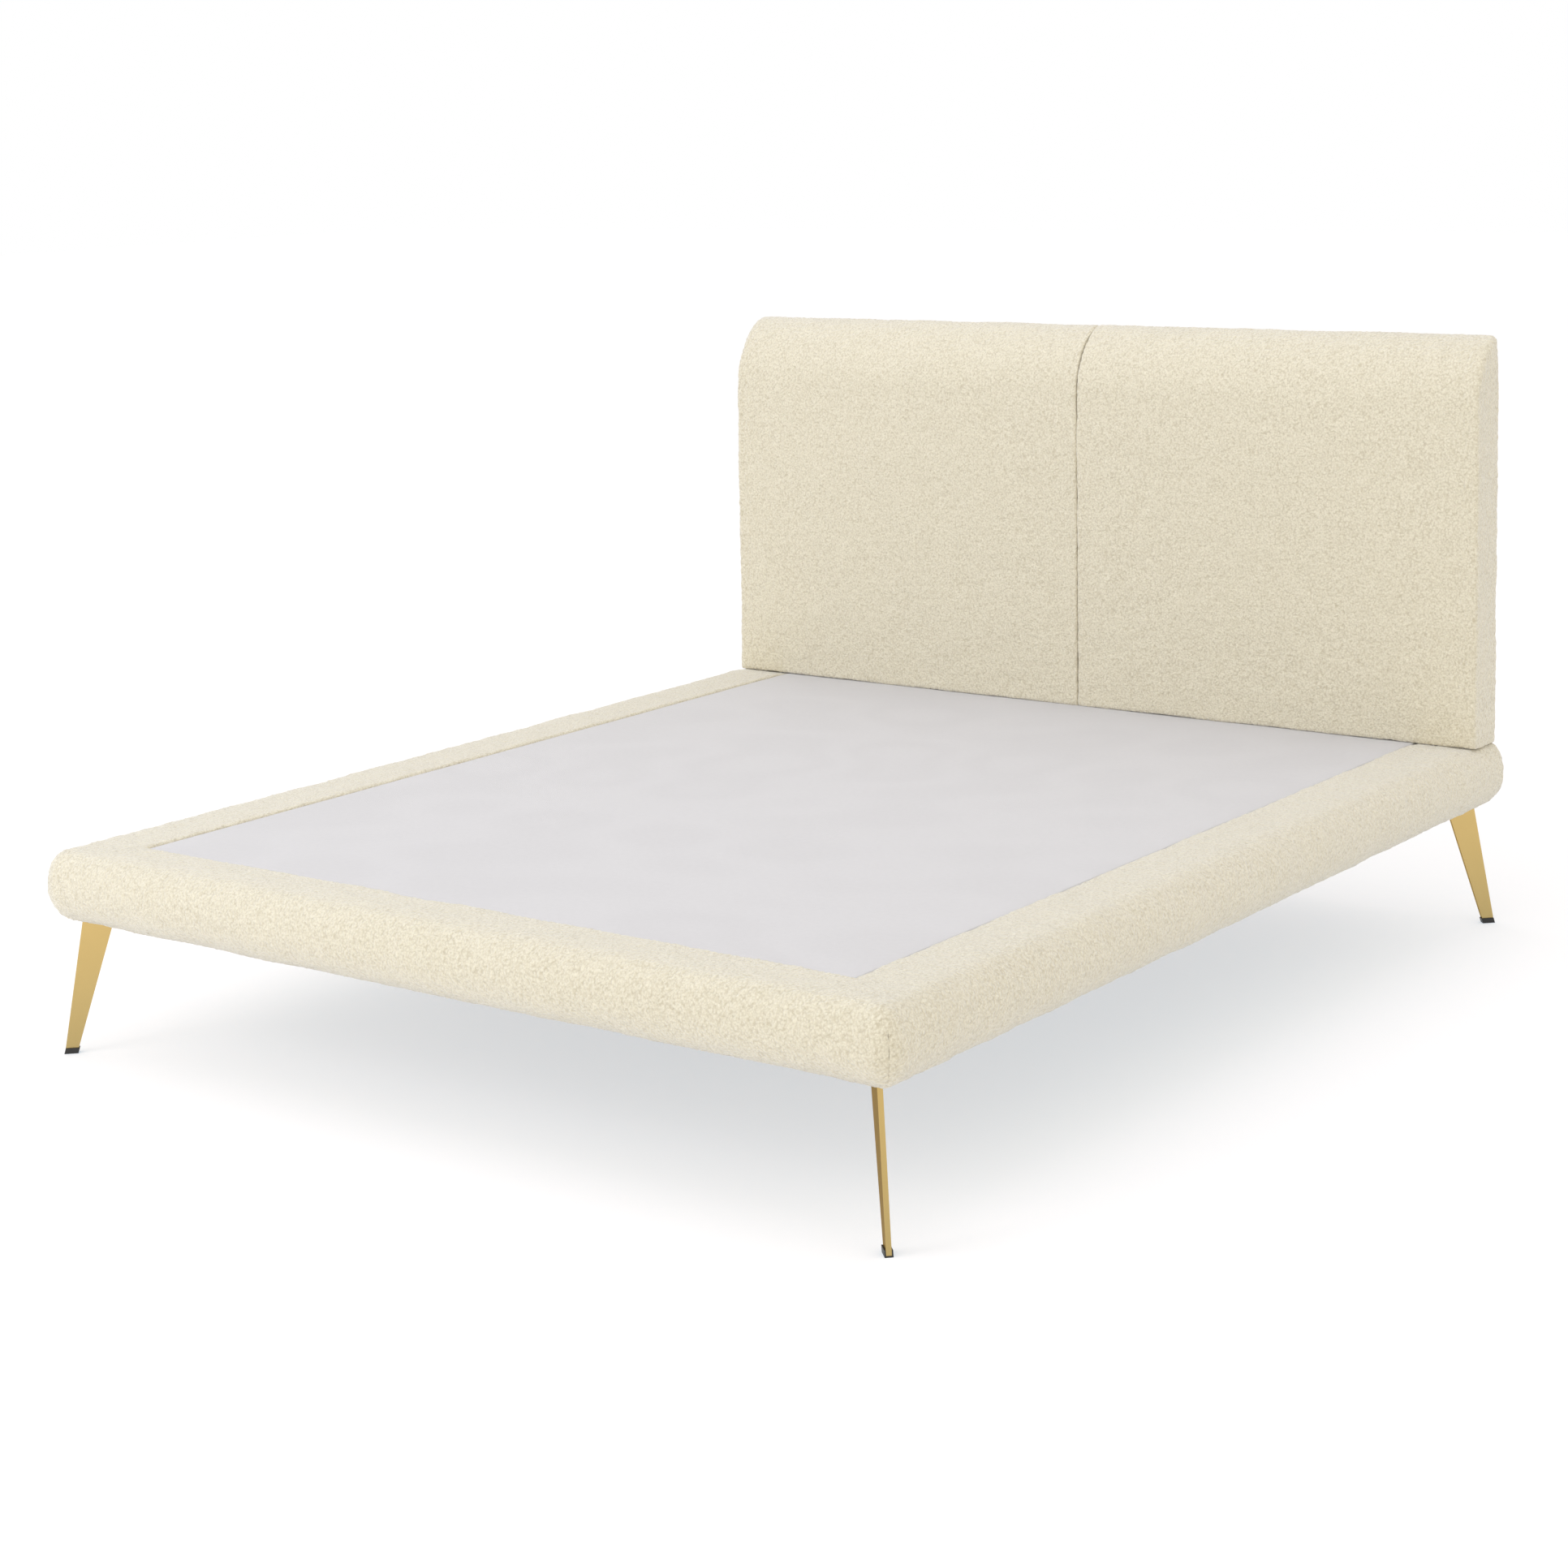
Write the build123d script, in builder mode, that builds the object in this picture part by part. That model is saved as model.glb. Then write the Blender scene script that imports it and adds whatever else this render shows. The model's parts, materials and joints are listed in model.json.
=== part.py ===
"""Upholstered platform bed for a 160 x 200 cm mattress: padded rails, two-panel headboard, blade legs.

Millimetres, +Z up.  The origin is on the floor under the middle of the bed's outer box.
+Y points from the foot to the headboard, and +X to the right of someone at the foot looking at it.
"""
from build123d import *
import os

# ---------------------------------------------------------------- driving dimensions
HALF_WIDTH = 967.0          # widest point of the padded side rails
FOOT_Y = -1127.0            # outermost line of the padded foot rail
BACK_Y = 1115.0             # back plane of the headboard and the rail ends
HEADBOARD_FRONT_Y = 1006.0
HEADBOARD_HEIGHT = 1225.0
HEADBOARD_HALF_BASE = 941.0
HEADBOARD_HALF_TOP = 927.0
DECK_HALF_WIDTH = 807.5     # outside of the deck's cloth
DECK_FOOT_Y = -993.5
DECK_HEAD_Y = 1059.5        # the deck runs on a little under the headboard
DECK_TOP = 390.0

# padded rail section: flat ledge, elliptical nose, flat underside
RAIL_TOP = 394.0
RAIL_MID = 322.0            # height of the nose's outermost line
RAIL_BOTTOM = 252.0
NOSE_TOP_DEPTH = 43.0
NOSE_BOTTOM_DEPTH = 68.0
CORNER_RADIUS = 38.0        # plan radius at the foot corners
LEDGE_INNER_X = 812.0       # inner edge of the side ledges
LEDGE_INNER_Y = -998.0      # inner edge of the foot ledge
SKIN = 3.0                  # thickness of the looped upholstery cloth and its backing
LIP_BOTTOM = 366.0          # how far the cover tucks down beside the deck

# timber
BOARD_INSET = 8.0           # inner board, in from the ledge's inner edge
BOARD = 22.0
OUTER_BOARD = 16.0
OUTER_FACE = 53.0           # outer board's face, in from the nose
TIMBER_TOP = 382.0
TIMBER_BOTTOM = 255.0
BLOCK_BOTTOM = 257.0
LEDGE_BOARD = 12.0
RIB = 22.0
SIDE_RIBS = 6
FIRST_SIDE_RIB_Y = -700.0
SIDE_RIB_STEP = 280.0
FOOT_RIBS = 5
FOOT_RIB_STEP = 320.0

# headboard build-up, from the back
FRAME = 28.0
PLY = 12.0
FRAME_BACK_Y = BACK_Y - SKIN
FRAME_FRONT_Y = FRAME_BACK_Y - FRAME
PLY_FRONT_Y = FRAME_FRONT_Y - PLY
FRAME_HALF_WIDTH = 915.0
FRAME_TOP = 1180.0
FRAME_RAIL = 50.0
BULLNOSE_DEPTH = 98.0
BULLNOSE_HEIGHT = 120.0
BACK_RADIUS = 10.0
TOP_CORNER_RADIUS = 28.0
SEAM_HALF_GAP = 1.0
RETURN = 45.0               # cover turned on to the headboard's back, in from its ends
RETURN_TOP = FRAME_TOP - 15.0
STILE = 45.0
CENTRE_STILE = 50.0
POST_X = 720.0
POST_WIDTH = 50.0
POST_BOTTOM = 262.0
CLOTH = 1.5
CLOTH_AIR = 1.0             # gap between the lining's edge and the cover's return

# deck
DECK_BOARD = 12.0
SLAT = 20.0
SLAT_WIDTH = 90.0
SLAT_COUNT = 11
FIRST_SLAT_Y = DECK_FOOT_Y + 75.0
LAST_SLAT_Y = 1000.0
DECK_CORNER = 6.0
DECK_SPLIT = 1.0            # half the gap between the two deck boards
SLAT_HALF_SPAN = 809.0
LEDGER_WIDTH = 30.0
LEDGER_HEIGHT = 40.0
LEDGER_GAP = 8.0            # the ledgers stop this short of the brackets and the head rail
BEAM_WIDTH = 45.0
BEAM_HEIGHT = 60.0

# blade legs, drawn in the vertical plane of each corner's diagonal
LEG_TOPS = {"foot": (890.0, -1057.0), "head": (890.0, 1065.9)}   # centre of the blade under the rail
LEG_SPLAY = 67.0            # outward travel of the blade's centre from z = LEG_Z to the floor
LEG_Z = 247.0
BLADE_TOP_HALF = 28.5
BLADE_FLOOR_HALF = 11.5
BLADE = 9.0
PLATE = 5.0
PLATE_CORNER = 8.0
PLATE_OUT = (15.0, 9.0)     # plate edges outboard of the blade's centre, across and along the bed
PLATE_IN = (47.0, 60.0)
PLATE_SCREWS = ((-38.0, 0.0), (-38.0, -50.0), (6.0, -50.0), (6.0, -27.0))
CAP_HEIGHT = 10.5
CAP_FLOOR = 2.5
CAP_CHEEK = 2.4
CAP_END = 2.0               # thickness of the cap's inner end wall
CAP_TOE = 1.0               # the cap's floor runs on this far past the blade's outer edge
FIT = 0.3                   # air between pieces that slide past one another

# centre legs and their levelling feet
CENTRE_LEG_Y = (-150.0, 470.0)
CENTRE_TUBE = 16.0
CENTRE_BORE = 13.5
CENTRE_LEG_BOTTOM = 32.5
TAPPED_END = 22.0
STEM = 5.0
STEM_TOP = 78.0
COLLAR = (11.0, 12.0, 20.0)  # across-corner radius, bottom and top of the hexagon collar
PAD_RADIUS = 20.0
PAD_HEIGHT = 9.0
PAD_EDGE = 3.0
PIVOT = 3.6                 # radius of the pad's socket for the stem
SOCKET_Z = 6.0

# fasteners and clearances
SCREW = 2.5                 # radius of the screws' shanks
SCREW_HEAD = 6.0
SCREW_HEAD_HEIGHT = 2.5
SCREW_HOLE = 3.2
PILOT = 2.6
COUNTERSINK = 6.2
COUNTERSINK_DEPTH = 2.7
LEG_SCREW = 34.0            # length of the legs' screws
LEG_PILOT = 31.0
SUNK = 0.1                  # how far a countersunk head lies below its plate's face
CROSS_SLOT = (6.0, 1.2, 1.4)
BOLT = 4.0
BOLT_HOLE = 4.3
BOLT_HEIGHTS = (295.0, 350.0)
BOLT_LENGTH = 46.0
WASHER = (11.0, 1.6)        # radius and thickness
NUT = (7.5, 5.0)
BRACKET_REACH = 60.0
BRACKET_WALL = 4.0
BRACKET_Z = (262.0, 313.0)
BRACKET_SCREW_Z = (275.0, 300.0)
BRACKET_SCREW_IN = 40.0     # bracket screws' distance from the inside corner
BRACKET_SCREW = 16.0        # how far a bracket screw runs into the wood
BRACKET_PILOT = 16.5
HANGER_WALL = 3.0
HANGER_SEAT = 45.0
HANGER_WING = 25.0
LEG_PLATE_SCREW_Y = 34.0    # centre leg's screws, either side of its tube
CENTRE_PLATE = (40.0, 90.0)
CENTRE_SCREW = 30.0         # how far a centre leg's screw runs into the beam
CENTRE_PILOT = 30.5
OPENING_AIR = 0.6           # air round a leg in the cover's opening
PAST = 10.0                 # how far a cutting solid runs past what it cuts

SIDE_WIDTH = HALF_WIDTH - LEDGE_INNER_X
FOOT_WIDTH = LEDGE_INNER_Y - FOOT_Y
SIDE_BOARD_X = LEDGE_INNER_X + BOARD_INSET            # inner face of the side rails
FOOT_BOARD_Y = LEDGE_INNER_Y - BOARD_INSET            # inner face of the foot rail
SIDE_OUTER_X = HALF_WIDTH - OUTER_FACE                # outer face of the outer boards
FOOT_OUTER_Y = FOOT_Y + OUTER_FACE
HEAD_RAIL_Y = FRAME_FRONT_Y - BOARD                   # inner face of the head rail
DECK_BOTTOM = DECK_TOP - CLOTH - DECK_BOARD
SLAT_BOTTOM = DECK_BOTTOM - SLAT
BLOCK_INSIDE = 66.0         # corner block's reach in from the leg, along the bed


# ---------------------------------------------------------------- helpers
def save(part, name):
    part.label = name
    export_step(part, f"parts/{name}.step")


def slab(x, y, z):
    """A box from its lowest and highest x, y and z."""
    with BuildPart() as piece:
        with BuildSketch(Plane.XY.offset(z[0])):
            with Locations(((x[0] + x[1]) / 2, (y[0] + y[1]) / 2)):
                Rectangle(x[1] - x[0], y[1] - y[0])
        extrude(amount=z[1] - z[0])
    return piece.part


def mirrored(part):
    """The same piece on the other side of the bed."""
    with BuildPart() as piece:
        mirror(part, about=Plane.YZ)
    return piece.part


def rail_face(width, skin):
    """Section of a padded rail, skin inside the cloth: x out from the ledge's inner edge, y up."""
    top_centre = width - NOSE_TOP_DEPTH
    bottom_centre = width - NOSE_BOTTOM_DEPTH
    with BuildSketch() as face:
        with BuildLine():
            Polyline((bottom_centre, RAIL_BOTTOM + skin), (skin, RAIL_BOTTOM + skin), (skin, RAIL_TOP - skin),
                     (top_centre, RAIL_TOP - skin))
            EllipticalCenterArc((top_centre, RAIL_MID), NOSE_TOP_DEPTH - skin, RAIL_TOP - RAIL_MID - skin, 0,
                                arc_size=90)
            EllipticalCenterArc((bottom_centre, RAIL_MID), NOSE_BOTTOM_DEPTH - skin,
                                RAIL_MID - RAIL_BOTTOM - skin, 270, arc_size=90)
        make_face()
    return face.sketch


def side_plan(skin):
    """Plan of the right side's padding: mitred at the foot, rounded at the corner."""
    centre = (HALF_WIDTH - CORNER_RADIUS, FOOT_Y + CORNER_RADIUS)
    radius = CORNER_RADIUS - skin
    with BuildSketch(Plane.XY.offset(RAIL_BOTTOM - SKIN)) as plan:
        with BuildLine():
            corner = CenterArc(centre, radius, -45, 45)
            Polyline(corner @ 1, (HALF_WIDTH - skin, BACK_Y + SKIN), (LEDGE_INNER_X, BACK_Y + SKIN),
                     (LEDGE_INNER_X, LEDGE_INNER_Y),
                     (HALF_WIDTH - NOSE_BOTTOM_DEPTH, FOOT_Y + NOSE_BOTTOM_DEPTH), corner @ 0)
        make_face()
    return plan.sketch


def foot_plan(skin):
    """Plan of the foot's padding, mitred at both ends."""
    centre = (HALF_WIDTH - CORNER_RADIUS, FOOT_Y + CORNER_RADIUS)
    radius = CORNER_RADIUS - skin
    mitre = (HALF_WIDTH - NOSE_BOTTOM_DEPTH, FOOT_Y + NOSE_BOTTOM_DEPTH)
    with BuildSketch(Plane.XY.offset(RAIL_BOTTOM - SKIN)) as plan:
        with BuildLine():
            right = CenterArc(centre, radius, 270, 45)
            left = CenterArc((-centre[0], centre[1]), radius, 225, 45)
            Polyline(right @ 1, mitre, (LEDGE_INNER_X, LEDGE_INNER_Y), (-LEDGE_INNER_X, LEDGE_INNER_Y),
                     (-mitre[0], mitre[1]), left @ 0)
            Line(left @ 1, right @ 0)
        make_face()
    return plan.sketch


def side_envelope(skin):
    """Right side's padded form, skin inside the cloth; its head end is skin in from the back plane."""
    section = Plane(origin=(LEDGE_INNER_X, BACK_Y - skin, 0), x_dir=(1, 0, 0), z_dir=(0, -1, 0))
    with BuildPart() as form:
        with BuildSketch(section):
            add(rail_face(SIDE_WIDTH, skin))
        extrude(amount=BACK_Y - skin - FOOT_Y)
        extrude(side_plan(skin), amount=2 * RAIL_MID, mode=Mode.INTERSECT)
    return form.part


def foot_envelope(skin):
    """Foot's padded form, skin inside the cloth."""
    section = Plane(origin=(0, LEDGE_INNER_Y, 0), x_dir=(0, -1, 0), z_dir=(-1, 0, 0))
    with BuildPart() as form:
        with BuildSketch(section):
            add(rail_face(FOOT_WIDTH, skin))
        extrude(amount=HALF_WIDTH, both=True)
        extrude(foot_plan(skin), amount=2 * RAIL_MID, mode=Mode.INTERSECT)
    return form.part


# ---------------------------------------------------------------- legs
def leg_plane(end, z=0.0):
    """Vertical plane of a right-hand leg's diagonal: x outward from the blade's top centre, y up."""
    x, y = LEG_TOPS[end]
    along = -1 if end == "foot" else 1
    return Plane(origin=(x, y, z), x_dir=(1, along, 0), z_dir=(along, -1, 0))


def blade_edge(z, side):
    """Distance out to the blade's outer (side = 1) or inner (side = -1) edge at height z."""
    low = 1 - z / LEG_Z
    half = BLADE_TOP_HALF + (BLADE_FLOOR_HALF - BLADE_TOP_HALF) * low
    return LEG_SPLAY * low + side * half


def blade_outline(z0, z1, grow=0.0):
    with BuildSketch() as outline:
        Polygon((blade_edge(z0, -1) - grow, z0), (blade_edge(z0, 1) + grow, z0),
                (blade_edge(z1, 1) + grow, z1), (blade_edge(z1, -1) - grow, z1), align=None)
    return outline.sketch


def plate_box(end, grow=0.0):
    """Lowest and highest corner, in plan, of a right-hand leg's mounting plate."""
    x, y = LEG_TOPS[end]
    along = -1 if end == "foot" else 1
    ys = sorted((y - along * (PLATE_IN[1] + grow), y + along * (PLATE_OUT[1] + grow)))
    return (x - PLATE_IN[0] - grow, x + PLATE_OUT[0] + grow), ys


def screw_points(end):
    x, y = LEG_TOPS[end]
    along = -1 if end == "foot" else 1
    return [(x + across, y + along * out) for across, out in PLATE_SCREWS]


def leg(end):
    """Blade welded to a flat plate that is let into the rail's underside."""
    xs, ys = plate_box(end)
    with BuildPart() as piece:
        add(slab(xs, ys, (RAIL_BOTTOM, RAIL_BOTTOM + PLATE)))
        fillet(piece.edges().filter_by(Axis.Z), radius=PLATE_CORNER)
        with BuildSketch(leg_plane(end)):
            add(blade_outline(CAP_FLOOR, RAIL_BOTTOM + PLATE))
        extrude(amount=BLADE / 2, both=True)
        with BuildSketch(Plane.XY.offset(RAIL_BOTTOM)):
            with Locations(*screw_points(end)):
                Circle(SCREW_HOLE)
        extrude(amount=PLATE, mode=Mode.SUBTRACT)
        with BuildSketch(Plane.XY.offset(RAIL_BOTTOM)):
            with Locations(*screw_points(end)):
                Circle(COUNTERSINK)
        extrude(amount=COUNTERSINK_DEPTH, mode=Mode.SUBTRACT)
    return piece.part


def glide_cap(end):
    """Push-on channel glide: a floor, an inner end wall and two cheeks, open at the outward end."""
    open_end = blade_edge(CAP_FLOOR, 1)
    with BuildPart() as piece:
        with BuildSketch(leg_plane(end)):
            Polygon((blade_edge(0, -1) - CAP_END, 0), (blade_edge(0, 1) + CAP_TOE, 0),
                    (blade_edge(CAP_HEIGHT, 1), CAP_HEIGHT),
                    (blade_edge(CAP_HEIGHT, -1) - CAP_END, CAP_HEIGHT), align=None)
        extrude(amount=BLADE / 2 + CAP_CHEEK, both=True)
        with BuildSketch(leg_plane(end)):
            add(blade_outline(CAP_FLOOR, CAP_HEIGHT + PAST))
            Polygon((open_end - CAP_END, CAP_FLOOR), (open_end + PAST, CAP_FLOOR),
                    (open_end + PAST, CAP_HEIGHT + PAST), (open_end - PAST, CAP_HEIGHT + PAST), align=None)
        extrude(amount=BLADE / 2, both=True, mode=Mode.SUBTRACT)
    return piece.part


def leg_opening(end):
    """What is cut out of the cover for a leg: its plate and blade with a little air."""
    xs, ys = plate_box(end, grow=OPENING_AIR)
    with BuildPart() as piece:
        add(slab(xs, ys, (RAIL_BOTTOM - PAST, RAIL_BOTTOM + PLATE)))
        with BuildSketch(leg_plane(end)):
            add(blade_outline(RAIL_BOTTOM - PAST, RAIL_BOTTOM + PLATE + SKIN, grow=2 * OPENING_AIR))
        extrude(amount=BLADE / 2 + OPENING_AIR, both=True)
    return piece.part


# ---------------------------------------------------------------- padded rails
def side_cover():
    opening = LEDGE_INNER_X + BOARD_INSET
    with BuildPart() as piece:
        add(side_envelope(0))
        add(side_envelope(SKIN), mode=Mode.SUBTRACT)
        add(slab((LEDGE_INNER_X - PAST, opening), (FOOT_Y, FRAME_BACK_Y), (0, LIP_BOTTOM)), mode=Mode.SUBTRACT)
        add(slab((LEDGE_INNER_X - PAST, opening), (HEAD_RAIL_Y - OPENING_AIR, FRAME_BACK_Y),
                 (0, RAIL_TOP - SKIN)), mode=Mode.SUBTRACT)
        add(leg_opening("foot"), mode=Mode.SUBTRACT)
        add(leg_opening("head"), mode=Mode.SUBTRACT)
    return piece.part


def foot_cover():
    opening = LEDGE_INNER_Y - BOARD_INSET
    openings = [leg_opening("foot"), mirrored(leg_opening("foot"))]
    with BuildPart() as piece:
        add(foot_envelope(0))
        add(foot_envelope(SKIN), mode=Mode.SUBTRACT)
        add(slab((-HALF_WIDTH, HALF_WIDTH), (opening, 0), (0, LIP_BOTTOM)), mode=Mode.SUBTRACT)
        for cut in openings:
            add(cut, mode=Mode.SUBTRACT)
    return piece.part


def side_foam():
    with BuildPart() as piece:
        add(side_envelope(SKIN))
        add(slab((0, SIDE_OUTER_X), (FOOT_OUTER_Y, BACK_Y), (0, TIMBER_TOP)), mode=Mode.SUBTRACT)
    return piece.part


def foot_foam():
    openings = [leg_opening("foot"), mirrored(leg_opening("foot"))]
    with BuildPart() as piece:
        add(foot_envelope(SKIN))
        add(slab((-SIDE_OUTER_X, SIDE_OUTER_X), (FOOT_OUTER_Y, 0), (0, TIMBER_TOP)), mode=Mode.SUBTRACT)
        for cut in openings:
            add(cut, mode=Mode.SUBTRACT)
    return piece.part


def corner_block(end):
    """Solid block that fills a rail corner and takes a leg's screws and the boards' ends."""
    leg_x, leg_y = LEG_TOPS[end]
    if end == "foot":
        ys = (FOOT_OUTER_Y, leg_y + BLOCK_INSIDE)
    else:
        ys = (leg_y - BLOCK_INSIDE, FRAME_BACK_Y)
    with BuildPart() as piece:
        add(slab((SIDE_BOARD_X + BOARD, SIDE_OUTER_X), ys, (BLOCK_BOTTOM, TIMBER_TOP - LEDGE_BOARD)))
        with BuildSketch(Plane.XY.offset(BLOCK_BOTTOM)):
            with Locations(*screw_points(end)):
                Circle(PILOT)
        extrude(amount=LEG_PILOT, mode=Mode.SUBTRACT)
    return piece.part


def leg_screw_set():
    """Four countersunk screws for each leg."""
    sets = []
    head_plane = Plane.XY.offset(RAIL_BOTTOM + SUNK)
    slot_length, slot_width, slot_depth = CROSS_SLOT
    for end in ("foot", "head"):
        with BuildPart() as screws:
            for radius, length in ((SCREW_HEAD, SCREW_HEAD_HEIGHT), (SCREW, LEG_SCREW)):
                with BuildSketch(head_plane):
                    with Locations(*screw_points(end)):
                        Circle(radius)
                extrude(amount=length)
            with BuildSketch(head_plane):
                with Locations(*screw_points(end)):
                    Rectangle(slot_length, slot_width)
                    Rectangle(slot_width, slot_length)
            extrude(amount=slot_depth, mode=Mode.SUBTRACT)
        sets += [screws.part, mirrored(screws.part)]
    return group(sets)


def group(parts):
    """Separate solids that share one node."""
    return Compound(children=[solid for part in parts for solid in part.solids()])


# ---------------------------------------------------------------- headboard
def headboard_profile(skin):
    """Side view of the headboard: y along the bed, z up, with a bullnose at the front of its top."""
    front = HEADBOARD_FRONT_Y + skin
    back = BACK_Y - skin
    top = HEADBOARD_HEIGHT - skin
    bottom = RAIL_TOP + skin
    nose = BULLNOSE_DEPTH - skin
    with BuildSketch(Plane.YZ) as face:
        with BuildLine():
            Polyline((HEADBOARD_FRONT_Y + BULLNOSE_DEPTH, top), (back - BACK_RADIUS + skin, top))
            JernArc((back - BACK_RADIUS + skin, top), (1, 0), BACK_RADIUS - skin, -90)
            Polyline((back, top - BACK_RADIUS + skin), (back, bottom), (front, bottom),
                     (front, HEADBOARD_HEIGHT - BULLNOSE_HEIGHT))
            EllipticalCenterArc((HEADBOARD_FRONT_Y + BULLNOSE_DEPTH, HEADBOARD_HEIGHT - BULLNOSE_HEIGHT),
                                nose, BULLNOSE_HEIGHT - skin, 90, arc_size=90)
        make_face()
    return face.sketch


def headboard_front(skin, seam):
    """Front view of the right-hand panel: leaning in a little towards the top, its top corner rounded."""
    top = HEADBOARD_HEIGHT - skin
    bottom = RAIL_TOP + skin
    with BuildSketch(Plane.XZ) as face:
        Polygon((seam, bottom), (HEADBOARD_HALF_BASE - skin, bottom), (HEADBOARD_HALF_TOP - skin, top),
                (seam, top), align=None)
        corner = face.vertices().group_by(Axis.Z)[-1].sort_by(Axis.X)[-1]
        fillet(corner, radius=TOP_CORNER_RADIUS - skin)
    return face.sketch


def headboard_envelope(skin, seam):
    with BuildPart() as form:
        extrude(headboard_profile(skin), amount=HEADBOARD_HALF_BASE)
        extrude(headboard_front(skin, seam), amount=-2 * BACK_Y, mode=Mode.INTERSECT)
    return form.part


def headboard_cover():
    with BuildPart() as piece:
        add(headboard_envelope(0, SEAM_HALF_GAP))
        add(headboard_envelope(SKIN, SEAM_HALF_GAP + SKIN), mode=Mode.SUBTRACT)
        add(slab((0, HEADBOARD_HALF_TOP - RETURN), (FRAME_FRONT_Y, BACK_Y + PAST), (0, RETURN_TOP)),
            mode=Mode.SUBTRACT)
        add(slab((0, SEAM_HALF_GAP + SKIN), (PLY_FRONT_Y, FRAME_BACK_Y), (0, FRAME_TOP)), mode=Mode.SUBTRACT)
        add(slab((0, HEADBOARD_HALF_BASE - 2 * SKIN), (FRAME_FRONT_Y, FRAME_BACK_Y), (0, RAIL_TOP + PAST)),
            mode=Mode.SUBTRACT)
    return piece.part


def headboard_foam():
    with BuildPart() as piece:
        add(headboard_envelope(SKIN, SEAM_HALF_GAP + SKIN))
        add(slab((0, FRAME_HALF_WIDTH), (PLY_FRONT_Y, BACK_Y), (0, FRAME_TOP)), mode=Mode.SUBTRACT)
    return piece.part


def bolt_points():
    """Centres of the M8 bolts that hold the posts to the head rail, in the x-z plane."""
    return [(side * POST_X, z) for side in (-1, 1) for z in BOLT_HEIGHTS]


def drilled(box, points, radius):
    """A slab drilled along Y at x-z points."""
    low, high = box[1]
    with BuildPart() as piece:
        add(slab(*box))
        with BuildSketch(Plane.XZ.offset(-high)):
            with Locations(*points):
                Circle(radius)
        extrude(amount=high - low, mode=Mode.SUBTRACT)
    return piece.part


def headboard_post(side):
    box = ((side * POST_X - POST_WIDTH / 2, side * POST_X + POST_WIDTH / 2), (FRAME_FRONT_Y, FRAME_BACK_Y),
           (POST_BOTTOM, FRAME_TOP - FRAME_RAIL))
    return drilled(box, [point for point in bolt_points() if point[0] * side > 0], BOLT_HOLE)


def headboard_bolts():
    """Carriage bolts from the head rail's front face into the posts, each with a washer and a nut."""
    washer_radius, washer_height = WASHER
    nut_radius, nut_height = NUT
    washer_y = HEAD_RAIL_Y - washer_height
    rounds = ((HEAD_RAIL_Y, BOLT, BOLT_LENGTH), (washer_y, washer_radius, washer_height),
              (washer_y - nut_height, nut_radius, nut_height))
    with BuildPart() as bolts:
        for y, radius, length in rounds:
            with BuildSketch(Plane.XZ.offset(-y)):
                with Locations(*bolt_points()):
                    Circle(radius)
            extrude(amount=-length)
    return group([bolts.part])


def back_cloth():
    """Lining over the headboard's back, running down between the side rails."""
    half_top = HEADBOARD_HALF_TOP - RETURN - CLOTH_AIR
    half_low = LEDGE_INNER_X - SKIN
    top = RETURN_TOP - CLOTH_AIR
    step = RAIL_TOP + CLOTH_AIR
    bottom = POST_BOTTOM - 4 * CLOTH_AIR
    with BuildPart() as piece:
        with BuildSketch(Plane.XZ.offset(-FRAME_BACK_Y - CLOTH)):
            Polygon((-half_low, bottom), (half_low, bottom), (half_low, step), (half_top, step),
                    (half_top, top), (-half_top, top), (-half_top, step), (-half_low, step), align=None)
        extrude(amount=CLOTH)
    return piece.part


# ---------------------------------------------------------------- deck and its supports
def slats():
    step = (LAST_SLAT_Y - FIRST_SLAT_Y) / (SLAT_COUNT - 1)
    with BuildPart() as piece:
        with BuildSketch(Plane.XY.offset(SLAT_BOTTOM)):
            with Locations(*[(0, FIRST_SLAT_Y + n * step) for n in range(SLAT_COUNT)]):
                RectangleRounded(2 * SLAT_HALF_SPAN, SLAT_WIDTH, DECK_CORNER)
        extrude(amount=SLAT)
    return group([piece.part])


def deck_board(y):
    with BuildPart() as piece:
        with BuildSketch(Plane.XY.offset(DECK_BOTTOM)):
            with Locations((0, (y[0] + y[1]) / 2)):
                Rectangle(2 * (DECK_HALF_WIDTH - CLOTH), y[1] - y[0])
        extrude(amount=DECK_BOARD)
    return piece.part


def deck_cover():
    """Cloth drawn over both deck boards and down their edges."""
    length = DECK_HEAD_Y - DECK_FOOT_Y
    middle = (DECK_HEAD_Y + DECK_FOOT_Y) / 2
    with BuildPart() as piece:
        with BuildSketch(Plane.XY.offset(DECK_BOTTOM)):
            with Locations((0, middle)):
                RectangleRounded(2 * DECK_HALF_WIDTH, length, DECK_CORNER)
        extrude(amount=DECK_TOP - DECK_BOTTOM)
        with BuildSketch(Plane.XY.offset(DECK_BOTTOM)):
            with Locations((0, middle)):
                Rectangle(2 * (DECK_HALF_WIDTH - CLOTH), length - 2 * CLOTH)
        extrude(amount=DECK_BOARD, mode=Mode.SUBTRACT)
    return piece.part


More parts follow.
